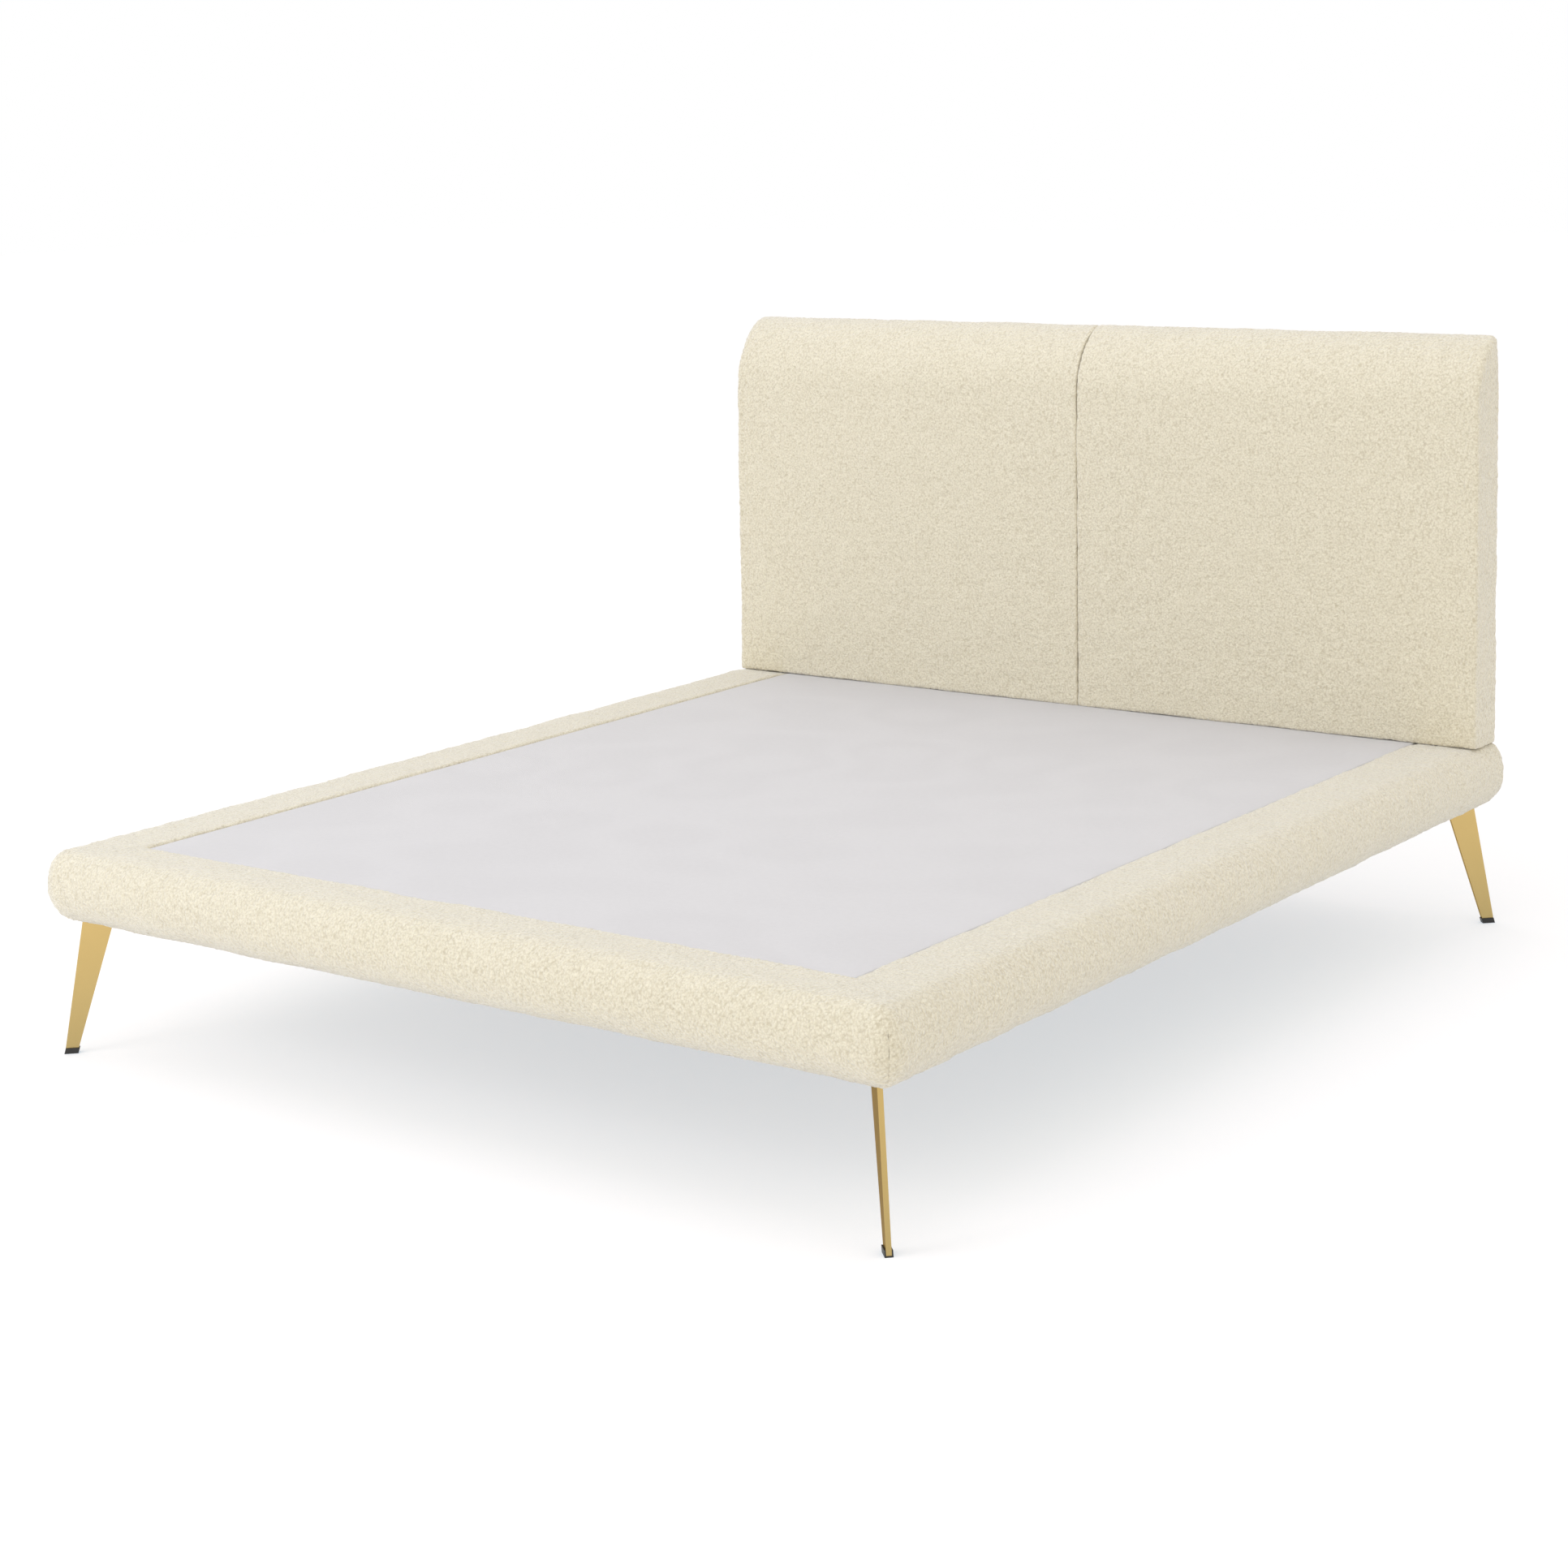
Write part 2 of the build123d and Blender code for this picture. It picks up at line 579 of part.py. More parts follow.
def beam_hangers():
    """Steel stirrups that carry the centre beam's ends on the foot and head rails."""
    wall = HANGER_WALL
    side = BEAM_WIDTH / 2 + wall
    bottom = SLAT_BOTTOM - BEAM_HEIGHT
    hangers = []
    for face, out in ((FOOT_BOARD_Y, 1), (HEAD_RAIL_Y, -1)):
        back = sorted((face, face + out * wall))
        seat = sorted((face, face + out * HANGER_SEAT))
        inside = sorted((face + out * wall, face + out * HANGER_SEAT))
        with BuildPart() as hanger:
            add(slab((-side - HANGER_WING, side + HANGER_WING), back, (bottom - wall, SLAT_BOTTOM - wall)))
            add(slab((-side, side), seat, (bottom - wall, SLAT_BOTTOM - 5 * wall)))
            add(slab((-side + wall, side - wall), inside, (bottom, SLAT_BOTTOM)), mode=Mode.SUBTRACT)
        hangers.append(hanger.part)
    return group(hangers)


def bracket_points(side, end):
    """Screw centres of one inside corner bracket: on the side rail (y, z) and on the cross rail (x, z)."""
    face, out = (FOOT_BOARD_Y, 1) if end == "foot" else (HEAD_RAIL_Y, -1)
    on_side = [(face + out * BRACKET_SCREW_IN, z) for z in BRACKET_SCREW_Z]
    on_cross = [(side * (SIDE_BOARD_X - BRACKET_SCREW_IN), z) for z in BRACKET_SCREW_Z]
    return on_side, on_cross


def corner_brackets():
    """Pressed steel angles in the base's four inside corners."""
    reach, wall = BRACKET_REACH, BRACKET_WALL
    brackets = []
    for end, face, out in (("foot", FOOT_BOARD_Y, 1), ("head", HEAD_RAIL_Y, -1)):
        on_side, on_cross = bracket_points(1, end)
        with BuildPart() as bracket:
            add(slab((SIDE_BOARD_X - wall, SIDE_BOARD_X), sorted((face, face + out * reach)), BRACKET_Z))
            add(slab((SIDE_BOARD_X - reach, SIDE_BOARD_X), sorted((face, face + out * wall)), BRACKET_Z))
            with BuildSketch(Plane.YZ.offset(SIDE_BOARD_X - wall)):
                with Locations(*on_side):
                    Circle(SCREW_HOLE)
            extrude(amount=wall, mode=Mode.SUBTRACT)
            with BuildSketch(Plane.XZ.offset(-face - out * wall)):
                with Locations(*on_cross):
                    Circle(SCREW_HOLE)
            extrude(amount=out * wall, mode=Mode.SUBTRACT)
        brackets += [bracket.part, mirrored(bracket.part)]
    return group(brackets)


def bracket_screws():
    """Round-headed screws through the corner brackets into the rails."""
    rounds = ((BRACKET_WALL, SCREW, BRACKET_WALL + BRACKET_SCREW),
              (BRACKET_WALL + SCREW_HEAD_HEIGHT, SCREW_HEAD, SCREW_HEAD_HEIGHT))
    screws = []
    for end, face, out in (("foot", FOOT_BOARD_Y, 1), ("head", HEAD_RAIL_Y, -1)):
        on_side, on_cross = bracket_points(1, end)
        with BuildPart() as pair:
            for offset, radius, length in rounds:
                with BuildSketch(Plane.YZ.offset(SIDE_BOARD_X - offset)):
                    with Locations(*on_side):
                        Circle(radius)
                extrude(amount=length)
                with BuildSketch(Plane.XZ.offset(-face - out * offset)):
                    with Locations(*on_cross):
                        Circle(radius)
                extrude(amount=out * length)
        screws += [pair.part, mirrored(pair.part)]
    return group(screws)


def piloted(part, plane, centres, depth):
    """A rail with blind pilot holes for the brackets' screws, sunk from one plane."""
    with BuildPart() as piece:
        add(part)
        with BuildSketch(plane):
            with Locations(*centres):
                Circle(PILOT)
        extrude(amount=depth, mode=Mode.SUBTRACT)
    return piece.part


def side_rail():
    box = slab((SIDE_BOARD_X, SIDE_BOARD_X + BOARD), (FOOT_BOARD_Y, FRAME_BACK_Y), (TIMBER_BOTTOM, TIMBER_TOP))
    centres = [point for end in ("foot", "head") for point in bracket_points(1, end)[0]]
    return piloted(box, Plane.YZ.offset(SIDE_BOARD_X), centres, BRACKET_PILOT)


def foot_rail():
    half = SIDE_BOARD_X + BOARD
    box = slab((-half, half), (FOOT_BOARD_Y - BOARD, FOOT_BOARD_Y), (TIMBER_BOTTOM, TIMBER_TOP))
    centres = [point for side in (-1, 1) for point in bracket_points(side, "foot")[1]]
    return piloted(box, Plane.XZ.offset(-FOOT_BOARD_Y), centres, BRACKET_PILOT)


def head_rail():
    box = ((-SIDE_BOARD_X, SIDE_BOARD_X), (HEAD_RAIL_Y, FRAME_FRONT_Y), (TIMBER_BOTTOM, TIMBER_TOP))
    centres = [point for side in (-1, 1) for point in bracket_points(side, "head")[1]]
    bored = drilled(box, bolt_points(), BOLT_HOLE)
    return piloted(bored, Plane.XZ.offset(-HEAD_RAIL_Y), centres, -BRACKET_PILOT)


def ribs():
    """Spacers between the inner and outer boards of the padded rails."""
    side_across = (SIDE_BOARD_X + BOARD, SIDE_OUTER_X - OUTER_BOARD)
    foot_across = (FOOT_OUTER_Y + OUTER_BOARD, FOOT_BOARD_Y - BOARD)
    height = (TIMBER_BOTTOM, TIMBER_TOP - LEDGE_BOARD)
    spacers = []
    for n in range(SIDE_RIBS):
        middle = FIRST_SIDE_RIB_Y + n * SIDE_RIB_STEP
        rib = slab(side_across, (middle - RIB / 2, middle + RIB / 2), height)
        spacers += [rib, mirrored(rib)]
    for n in range(FOOT_RIBS):
        middle = (n - (FOOT_RIBS - 1) / 2) * FOOT_RIB_STEP
        spacers.append(slab((middle - RIB / 2, middle + RIB / 2), foot_across, height))
    return group(spacers)


# ---------------------------------------------------------------- centre legs
def centre_leg(y):
    """Steel tube with a top plate, its lower end closed by a tapped disc."""
    top = SLAT_BOTTOM - BEAM_HEIGHT
    with BuildPart() as piece:
        with BuildSketch(Plane.XY.offset(CENTRE_LEG_BOTTOM)):
            with Locations((0, y)):
                Circle(CENTRE_TUBE)
        extrude(amount=top - PLATE - CENTRE_LEG_BOTTOM)
        with BuildSketch(Plane.XY.offset(CENTRE_LEG_BOTTOM + TAPPED_END)):
            with Locations((0, y)):
                Circle(CENTRE_BORE)
        extrude(amount=top - PLATE - CENTRE_LEG_BOTTOM - TAPPED_END, mode=Mode.SUBTRACT)
        with BuildSketch(Plane.XY.offset(CENTRE_LEG_BOTTOM)):
            with Locations((0, y)):
                Circle(STEM + FIT)
        extrude(amount=TAPPED_END, mode=Mode.SUBTRACT)
        with BuildSketch(Plane.XY.offset(top - PLATE)):
            with Locations((0, y)):
                RectangleRounded(*CENTRE_PLATE, PLATE)
        extrude(amount=PLATE)
        with BuildSketch(Plane.XY.offset(top - PLATE)):
            with Locations((0, y - LEG_PLATE_SCREW_Y), (0, y + LEG_PLATE_SCREW_Y)):
                Circle(SCREW_HOLE)
        extrude(amount=PLATE, mode=Mode.SUBTRACT)
    return piece.part


def centre_screw_points():
    return [(0, y + side * LEG_PLATE_SCREW_Y) for y in CENTRE_LEG_Y for side in (-1, 1)]


def centre_leg_screws():
    """Round-headed screws up through the centre legs' plates into the beam."""
    plate_z = SLAT_BOTTOM - BEAM_HEIGHT - PLATE
    rounds = ((plate_z - SCREW_HEAD_HEIGHT, SCREW_HEAD, SCREW_HEAD_HEIGHT),
              (plate_z, SCREW, PLATE + CENTRE_SCREW))
    with BuildPart() as screws:
        for z, radius, length in rounds:
            with BuildSketch(Plane.XY.offset(z)):
                with Locations(*centre_screw_points()):
                    Circle(radius)
            extrude(amount=length)
    return group([screws.part])


def centre_beam():
    """Timber down the middle of the bed, its ends in the two hangers."""
    half = BEAM_WIDTH / 2 - FIT
    ends = (FOOT_BOARD_Y + HANGER_WALL + CLOTH_AIR, HEAD_RAIL_Y - HANGER_WALL - CLOTH_AIR)
    bottom = SLAT_BOTTOM - BEAM_HEIGHT
    with BuildPart() as beam:
        add(slab((-half, half), ends, (bottom, SLAT_BOTTOM)))
        with BuildSketch(Plane.XY.offset(bottom)):
            with Locations(*centre_screw_points()):
                Circle(PILOT)
        extrude(amount=CENTRE_PILOT, mode=Mode.SUBTRACT)
    return beam.part


def foot_stem(y):
    """Threaded stem of a levelling foot, with its hexagon collar and the pivot that sits in the pad."""
    radius, low, high = COLLAR
    pivot_z = SOCKET_Z + FIT
    with BuildPart() as stem:
        for z, size, length in ((high, STEM, STEM_TOP - high), (pivot_z, PIVOT - FIT, low - pivot_z)):
            with BuildSketch(Plane.XY.offset(z)):
                with Locations((0, y)):
                    Circle(size)
            extrude(amount=length)
        with BuildSketch(Plane.XY.offset(low)):
            with Locations((0, y)):
                RegularPolygon(radius, 6)
        extrude(amount=high - low)
    return stem.part


def foot_pad(y):
    """Round pad of a levelling foot; it stays still while the stem turns in its socket."""
    with BuildPart() as pad:
        with BuildSketch(Plane.XY):
            with Locations((0, y)):
                Circle(PAD_RADIUS)
        extrude(amount=PAD_HEIGHT)
        fillet(pad.edges().group_by(Axis.Z)[-1], radius=PAD_EDGE)
        with BuildSketch(Plane.XY.offset(SOCKET_Z)):
            with Locations((0, y)):
                Circle(PIVOT)
        extrude(amount=PAD_HEIGHT - SOCKET_Z, mode=Mode.SUBTRACT)
    return pad.part


# ---------------------------------------------------------------- write every piece
os.makedirs("parts", exist_ok=True)
pieces = {}


def both_sides(name, right):
    pieces[f"{name}_right"] = right
    pieces[f"{name}_left"] = mirrored(right)


both_sides("headboard_cover", headboard_cover())
both_sides("headboard_foam", headboard_foam())
pieces["headboard_post_right"] = headboard_post(1)
pieces["headboard_post_left"] = headboard_post(-1)
pieces["headboard_ply"] = slab((-FRAME_HALF_WIDTH, FRAME_HALF_WIDTH), (PLY_FRONT_Y, FRAME_FRONT_Y),
                               (RAIL_TOP + SKIN, FRAME_TOP))
frame_y = (FRAME_FRONT_Y, FRAME_BACK_Y)
frame_bottom = RAIL_TOP + SKIN
stile_x = (FRAME_HALF_WIDTH - STILE, FRAME_HALF_WIDTH)
stile_top = FRAME_TOP - FRAME_RAIL
low_rail_z = (frame_bottom, frame_bottom + FRAME_RAIL)
post_x = (POST_X - POST_WIDTH / 2, POST_X + POST_WIDTH / 2)
low_rail_middle = slab((-post_x[0], post_x[0]), frame_y, low_rail_z)
low_rail_end = slab((post_x[1], stile_x[0]), frame_y, low_rail_z)
pieces["headboard_top_rail"] = slab((-FRAME_HALF_WIDTH, FRAME_HALF_WIDTH), frame_y, (stile_top, FRAME_TOP))
centre_stile_x = (-CENTRE_STILE / 2, CENTRE_STILE / 2)
pieces["headboard_centre_stile"] = slab(centre_stile_x, frame_y, (low_rail_z[1], stile_top))
both_sides("headboard_outer_stile", slab(stile_x, frame_y, (frame_bottom, stile_top)))
pieces["headboard_low_rail"] = group([low_rail_middle, low_rail_end, mirrored(low_rail_end)])
pieces["headboard_spreader"] = slab((-post_x[0], post_x[0]), frame_y, (POST_BOTTOM, POST_BOTTOM + FRAME_RAIL))
pieces["headboard_bolts"] = headboard_bolts()
pieces["headboard_back_cloth"] = back_cloth()

both_sides("side_cover", side_cover())
pieces["foot_cover"] = foot_cover()
both_sides("side_foam", side_foam())
pieces["foot_foam"] = foot_foam()
both_sides("side_rail", side_rail())
pieces["foot_rail"] = foot_rail()
pieces["head_rail"] = head_rail()

outer_z = (BLOCK_BOTTOM, TIMBER_TOP)
ledge_z = (TIMBER_TOP - LEDGE_BOARD, TIMBER_TOP)
foot_board_x = (-SIDE_BOARD_X - BOARD, SIDE_BOARD_X + BOARD)
side_outer_y = (LEG_TOPS["foot"][1] + BLOCK_INSIDE, LEG_TOPS["head"][1] - BLOCK_INSIDE)
side_ledge_x = (SIDE_BOARD_X + BOARD, SIDE_OUTER_X - OUTER_BOARD)
both_sides("side_outer_board", slab((SIDE_OUTER_X - OUTER_BOARD, SIDE_OUTER_X), side_outer_y, outer_z))
pieces["foot_outer_board"] = slab(foot_board_x, (FOOT_OUTER_Y, FOOT_OUTER_Y + OUTER_BOARD), outer_z)
both_sides("side_ledge_board", slab(side_ledge_x, (FOOT_BOARD_Y - BOARD, FRAME_BACK_Y), ledge_z))
pieces["foot_ledge_board"] = slab(foot_board_x, (FOOT_OUTER_Y + OUTER_BOARD, FOOT_BOARD_Y - BOARD), ledge_z)
pieces["rail_ribs"] = ribs()
blocks = [corner_block("foot"), corner_block("head")]
pieces["corner_blocks"] = group(blocks + [mirrored(block) for block in blocks])
pieces["corner_brackets"] = corner_brackets()
pieces["bracket_screws"] = bracket_screws()

ledger_y = (FOOT_BOARD_Y + BRACKET_REACH + LEDGER_GAP, HEAD_RAIL_Y - LEDGER_GAP)
ledger_z = (SLAT_BOTTOM - LEDGER_HEIGHT, SLAT_BOTTOM)
both_sides("slat_ledger", slab((SIDE_BOARD_X - LEDGER_WIDTH, SIDE_BOARD_X), ledger_y, ledger_z))
pieces["slats"] = slats()
pieces["centre_beam"] = centre_beam()
pieces["beam_hangers"] = beam_hangers()
split = (DECK_FOOT_Y + DECK_HEAD_Y) / 2
pieces["deck_board_foot"] = deck_board((DECK_FOOT_Y + CLOTH, split - DECK_SPLIT))
pieces["deck_board_head"] = deck_board((split + DECK_SPLIT, DECK_HEAD_Y - CLOTH))
pieces["deck_cover"] = deck_cover()

for end in ("foot", "head"):
    both_sides(f"{end}_leg", leg(end))
    both_sides(f"{end}_glide", glide_cap(end))
pieces["leg_screws"] = leg_screw_set()
for name, y in zip(("front", "rear"), CENTRE_LEG_Y):
    pieces[f"centre_leg_{name}"] = centre_leg(y)
    pieces[f"foot_stem_{name}"] = foot_stem(y)
    pieces[f"foot_pad_{name}"] = foot_pad(y)
pieces["centre_leg_screws"] = centre_leg_screws()

for name, part in pieces.items():
    save(part, name)
print(len(pieces), "nodes")
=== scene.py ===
"""Padded platform bed with a two-panel headboard: its looks, built around the fixed CAD frame.

Metres, +Z up.  The foot of the bed is towards -Y, and the floor is z = 0.
"""
import json
from math import pi, radians

import bpy
import numpy as np
from mathutils import Matrix, Vector
from mathutils.kdtree import KDTree


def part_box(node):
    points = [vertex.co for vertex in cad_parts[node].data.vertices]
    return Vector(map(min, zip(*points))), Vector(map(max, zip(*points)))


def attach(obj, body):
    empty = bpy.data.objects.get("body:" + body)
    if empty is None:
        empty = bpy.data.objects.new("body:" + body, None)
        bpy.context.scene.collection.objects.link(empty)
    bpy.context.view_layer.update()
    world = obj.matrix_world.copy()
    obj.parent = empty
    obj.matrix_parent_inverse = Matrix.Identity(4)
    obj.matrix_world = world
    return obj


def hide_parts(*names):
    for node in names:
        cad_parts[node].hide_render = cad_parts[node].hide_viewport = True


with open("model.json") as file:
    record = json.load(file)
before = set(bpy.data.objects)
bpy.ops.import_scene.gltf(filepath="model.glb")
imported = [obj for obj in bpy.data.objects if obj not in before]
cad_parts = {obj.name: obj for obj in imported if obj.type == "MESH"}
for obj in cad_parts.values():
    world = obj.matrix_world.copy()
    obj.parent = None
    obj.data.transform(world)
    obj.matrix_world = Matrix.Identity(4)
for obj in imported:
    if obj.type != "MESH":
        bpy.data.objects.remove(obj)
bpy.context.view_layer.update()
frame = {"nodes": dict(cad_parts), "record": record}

MM = 0.001
TINY = 1e-6                      # lengths below this count as nothing
NEVER_ZERO = 1e-9                # keeps a divisor above zero

# ---------------------------------------------------------------- sizes read from the frame
SIDE_LOW, SIDE_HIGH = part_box("side_cover_right")
FOOT_LOW, FOOT_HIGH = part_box("foot_cover")
BOARD_LOW, BOARD_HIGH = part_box("headboard_cover_right")
DECK_LOW, DECK_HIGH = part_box("deck_cover")
LINING_LOW, LINING_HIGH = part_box("headboard_back_cloth")

RAIL_BOTTOM, RAIL_TOP = SIDE_LOW.z, SIDE_HIGH.z
LEDGE_X, NOSE_X = SIDE_LOW.x, SIDE_HIGH.x      # inner edge of the side ledge, and the nose
LEDGE_Y, NOSE_Y = FOOT_HIGH.y, FOOT_LOW.y      # the same at the foot
BACK_Y = SIDE_HIGH.y                           # head end of the side rails
LINING_SHOULDER = RAIL_TOP + 1 * MM            # where the lining narrows to a tongue between the side rails

# ---------------------------------------------------------------- shape of the rails' padding
LEDGE_NAP = 3.5 * MM             # how far the looped cloth closes on the deck's edge
SIDE_DEPTH = NOSE_X - LEDGE_X + LEDGE_NAP
FOOT_DEPTH = LEDGE_Y - NOSE_Y + LEDGE_NAP
NOSE_MID_Z = 322 * MM            # height of the rails' outermost line
NOSE_TOP_DEPTH = 43 * MM         # how far in from the nose the curve above that line starts
NOSE_BOTTOM_DEPTH = 68 * MM      # the same for the curve below it
PLAN_RADIUS = 43 * MM            # of the nose at the foot corners
CORNER_ZONE = 0.20               # length of rail over which the sweep turns the corner
LEDGE_EDGE = 5 * MM              # radius of the ledge's inner edge
LEAST_EDGE = 0.5 * MM            # the same where the rail's end has rolled in
MITRE_GROOVE = 0.8 * MM          # depth and half-width of the seam at the foot corners
MITRE_HALF_WIDTH = 4 * MM
MITRE_START = 8 * MM             # how far below the ledge the groove starts, and reaches its full depth
MITRE_FULL = 40 * MM
END_ROLL = 12 * MM               # radius at the rails' head ends
PRESS_AHEAD = 40 * MM            # how far in front of a headboard panel the ledge starts to dip
PRESS_BEYOND = 10 * MM           # how far beyond the panel's end the dip starts
PRESS_WITHIN = 15 * MM           # how far within the panel's end the dip is full

# ---------------------------------------------------------------- shape of the headboard's padding
BULLNOSE_DEPTH = 107 * MM
BULLNOSE_HEIGHT = 135 * MM
BULLNOSE_POWER = 1.85            # 2 is an ellipse; less is flatter between its ends
BACK_RADIUS = 10 * MM            # along the top of the back
LEAST_BACK_RADIUS = 1 * MM       # the same where the panel's end has rolled in
SEAM_ROLL = 5 * MM               # radius of the cloth's turn into the centre seam
SEAM_CLOSE = 0.7 * MM            # the panels' cloth presses together inside the frame's gap
NAP = 3 * MM                     # how far the looped cloth stands out at the headboard's ends
FRONT_EDGE = 9 * MM              # radius down the panels' ends
TOP_EDGE = 19 * MM               # the same at their top corners
BOTTOM_EDGE = 2.5 * MM           # radius along the bottom of the front
BOTTOM_SAG = 4.4 * MM            # the panels rest on the deck, and press the side ledges down to its level
SAG_HEIGHT = 60 * MM             # height over which a panel's sag fades out
LEAN = 14 * MM                   # how much narrower each panel is at its top
BACK_SKIN = 1 * MM               # depth of what counts as the back
TUCK = 4 * MM                    # how deep the cover runs in under the lining's hem
TUCK_BEYOND = 3 * MM             # how far beyond the lining's edge the cover starts to go down
TUCK_WITHIN = 7 * MM             # how far within the lining's edge it is fully down
TUCK_WIDTH = 12 * MM             # how far within the lining's edge the cover ends

# ---------------------------------------------------------------- shape of the sheets
DECK_EDGE = 2 * MM               # radius of the cloth's turn over the deck boards' edges
DECK_STEP = 20 * MM
DECK_THICKNESS = 1.2 * MM
DECK_WAVE = 0.25 * MM            # height, length and seed of the deck cloth's slow waves
DECK_WAVELENGTH = 0.35
DECK_SEED = 5
LINING_STEP = 9 * MM
LINING_THICKNESS = 0.8 * MM
LINING_FACE = 0.7 * MM           # how far its outer face stands out from the inner face of the CAD's lining
TONGUE_X = DECK_HIGH.x + 1.5 * MM    # half the width of the lining's tongue
HEM = 14 * MM                    # width of the lining's turned-in hem, and how far it stands out
HEM_LIFT = 0.5 * MM
STAPLE_PITCH = 60 * MM           # distance between the staples that the puckers along a hem stand for
STAPLE_LINE = 8 * MM             # how far in from the edge they pull fully, and how far in they still pull
STAPLE_REACH = 60 * MM
STAPLE_PULL = 0.25 * MM
SLACK = 0.3 * MM                 # height, length and seed of the waves in the lining between its edges
SLACK_LENGTH = 0.30
SLACK_SEED = 83
SLACK_START = 20 * MM            # how far in from the edge they start, and reach their full height
SLACK_FULL = 90 * MM

# ---------------------------------------------------------------- edges of the legs and their glides
LEG_BEVEL = 0.8 * MM
GLIDE_BEVEL = 0.5 * MM

# ---------------------------------------------------------------- how the padding swells
STEP = 9 * MM                    # lattice step of a pad before it is subdivided
SIM_STEP = 20 * MM               # lattice step of the coarse copy that the cloth simulation moves
FINE_SHARE = 0.28                # lattice step near an edge, as a share of the rest
SIM_FRAMES = 20
SIM_PRESSURE = 4.0
CARRIERS = 4                     # number of coarse points whose movement a fine point follows
RAIL_REACH = 3 * MM              # no point moves further than this
PANEL_REACH = 5 * MM
NOSE_HELD = 90 * MM              # a rail is held from here inwards, and free from here out to its nose
NOSE_FREE = 30 * MM
LEDGE_SHARE = 0.1                # how free the ledge is
LEDGE_SKIN = 4 * MM              # depth of what counts as the ledge
PANEL_HELD = 75 * MM             # a panel is held from here back, and free from here forward
PANEL_FREE = 20 * MM
MITRE_HOLD = 40 * MM             # near these edges a pad is held, and it is free this far from them
END_HOLD = 50 * MM
SEAM_HOLD = 70 * MM
PANEL_EDGE_HOLD = 60 * MM

# relief of the looped cloth: nubs about a centimetre apart, over two slow waves
RELIEF = (                       # height, wavelength, seed, number of sine waves
    (0.45 * MM, 0.011, 3, 24),
    (0.6 * MM, 0.16, 12, 9),
    (0.3 * MM, 0.05, 13, 9),
)


# ---------------------------------------------------------------- numeric helpers
def graded(low, high, step, fine_low=0.0, fine_high=0.0):
    """Lattice coordinates from low to high, finer over a stretch at either end."""
    fine = step * FINE_SHARE
    runs = [
        (low, low + fine_low, fine),
        (low + fine_low, high - fine_high, step),
        (high - fine_high, high, fine),
    ]
    values = [low]
    for start, stop, pitch in runs:
        if stop - start > TINY:
            count = max(1, round((stop - start) / pitch))
            values.extend(np.linspace(start, stop, count + 1)[1:])
    return np.array(values)


def lattice_shell(axes, open_sides=()):
    """Surface of a box lattice as points and outward quads; open_sides are (axis, end) pairs left out."""
    index, keys, faces = {}, [], []
    counts = [len(axis) - 1 for axis in axes]

    def corner(key):
        if key not in index:
            index[key] = len(keys)
            keys.append(key)
        return index[key]

    for a, b, c in ((0, 1, 2), (1, 2, 0), (2, 0, 1)):
        for end in (0, 1):
            if (c, end) in open_sides:
                continue
            for i in range(counts[a]):
                for j in range(counts[b]):
                    quad = []
                    for di, dj in ((0, 0), (1, 0), (1, 1), (0, 1)):
                        key = [0, 0, 0]
                        key[a], key[b], key[c] = i + di, j + dj, end * counts[c]
                        quad.append(corner(tuple(key)))
                    faces.append(quad if end else quad[::-1])
    keys = np.array(keys)
    points = np.stack([axis[keys[:, n]] for n, axis in enumerate(axes)], axis=1)
    return points, faces


def drop_faces(points, faces, free, gone):
    """Leave out the faces whose points are all marked gone, and the points that no other face uses."""
    kept = np.array([face for face in faces if not gone[face].all()])
    used, renumbered = np.unique(kept, return_inverse=True)
    return points[used], renumbered.reshape(-1, 4).tolist(), free[used]


def rescale(values, low, high, new_low, new_high):
    """Carry values from one range to another."""
    return new_low + (values - low) * (new_high - new_low) / (high - low)


def round_edge(a, b, edge_a, edge_b, radius_a, radius_b, power=2.0):
    """Move the points near an edge of a box section on to an ellipse; the radii carry the edge's direction."""
    p = 1 - (edge_a - a) / radius_a
    q = 1 - (edge_b - b) / radius_b
    near = (p > 0) & (q > 0)
    p, q = np.where(near, p, 0), np.where(near, q, 0)
    reach = np.maximum(p, q) / np.maximum((p ** power + q ** power) ** (1 / power), NEVER_ZERO)
    a = np.where(near, edge_a - radius_a * (1 - p * reach), a)
    b = np.where(near, edge_b - radius_b * (1 - q * reach), b)
    return a, b


def roll(distance, radius):
    """How far in and along a surface turns at an end it meets with a round edge."""
    angle = (1 - np.clip(distance / radius, 0, 1)) * pi / 2
    inset = radius * (1 - np.cos(angle))
    along = np.where(distance < radius, radius * (1 - np.sin(angle)), distance)
    return inset, along


def ripples(points, wavelength, seed, waves=9):
    """Smooth pseudo-random field of about unit size: a sum of sine waves in seeded directions."""
    rng = np.random.default_rng(seed)
    directions = rng.normal(size=(waves, 3))
    directions /= np.linalg.norm(directions, axis=1)[:, None]
    lengths = wavelength * rng.uniform(0.7, 1.5, waves)
    phases = rng.uniform(0, 2 * pi, waves)
    turns = points @ (directions / lengths[:, None]).T * 2 * pi + phases
    return np.sin(turns).sum(axis=1) / np.sqrt(waves / 2)


def ramp(values, start, end):
    """0 at start, 1 at end, smooth in between."""
    t = np.clip((values - start) / (end - start), 0, 1)
    return t * t * (3 - 2 * t)


# ---------------------------------------------------------------- mesh helpers
def new_piece(name, points, faces, smooth=True):
    """A new mesh object, linked to the scene."""
    mesh = bpy.data.meshes.new(name)
    mesh.from_pydata([tuple(p) for p in points], [], faces)
    mesh.update()
    piece = bpy.data.objects.new(name, mesh)
    bpy.context.scene.collection.objects.link(piece)
    mesh.polygons.foreach_set("use_smooth", [smooth] * len(mesh.polygons))
    return piece


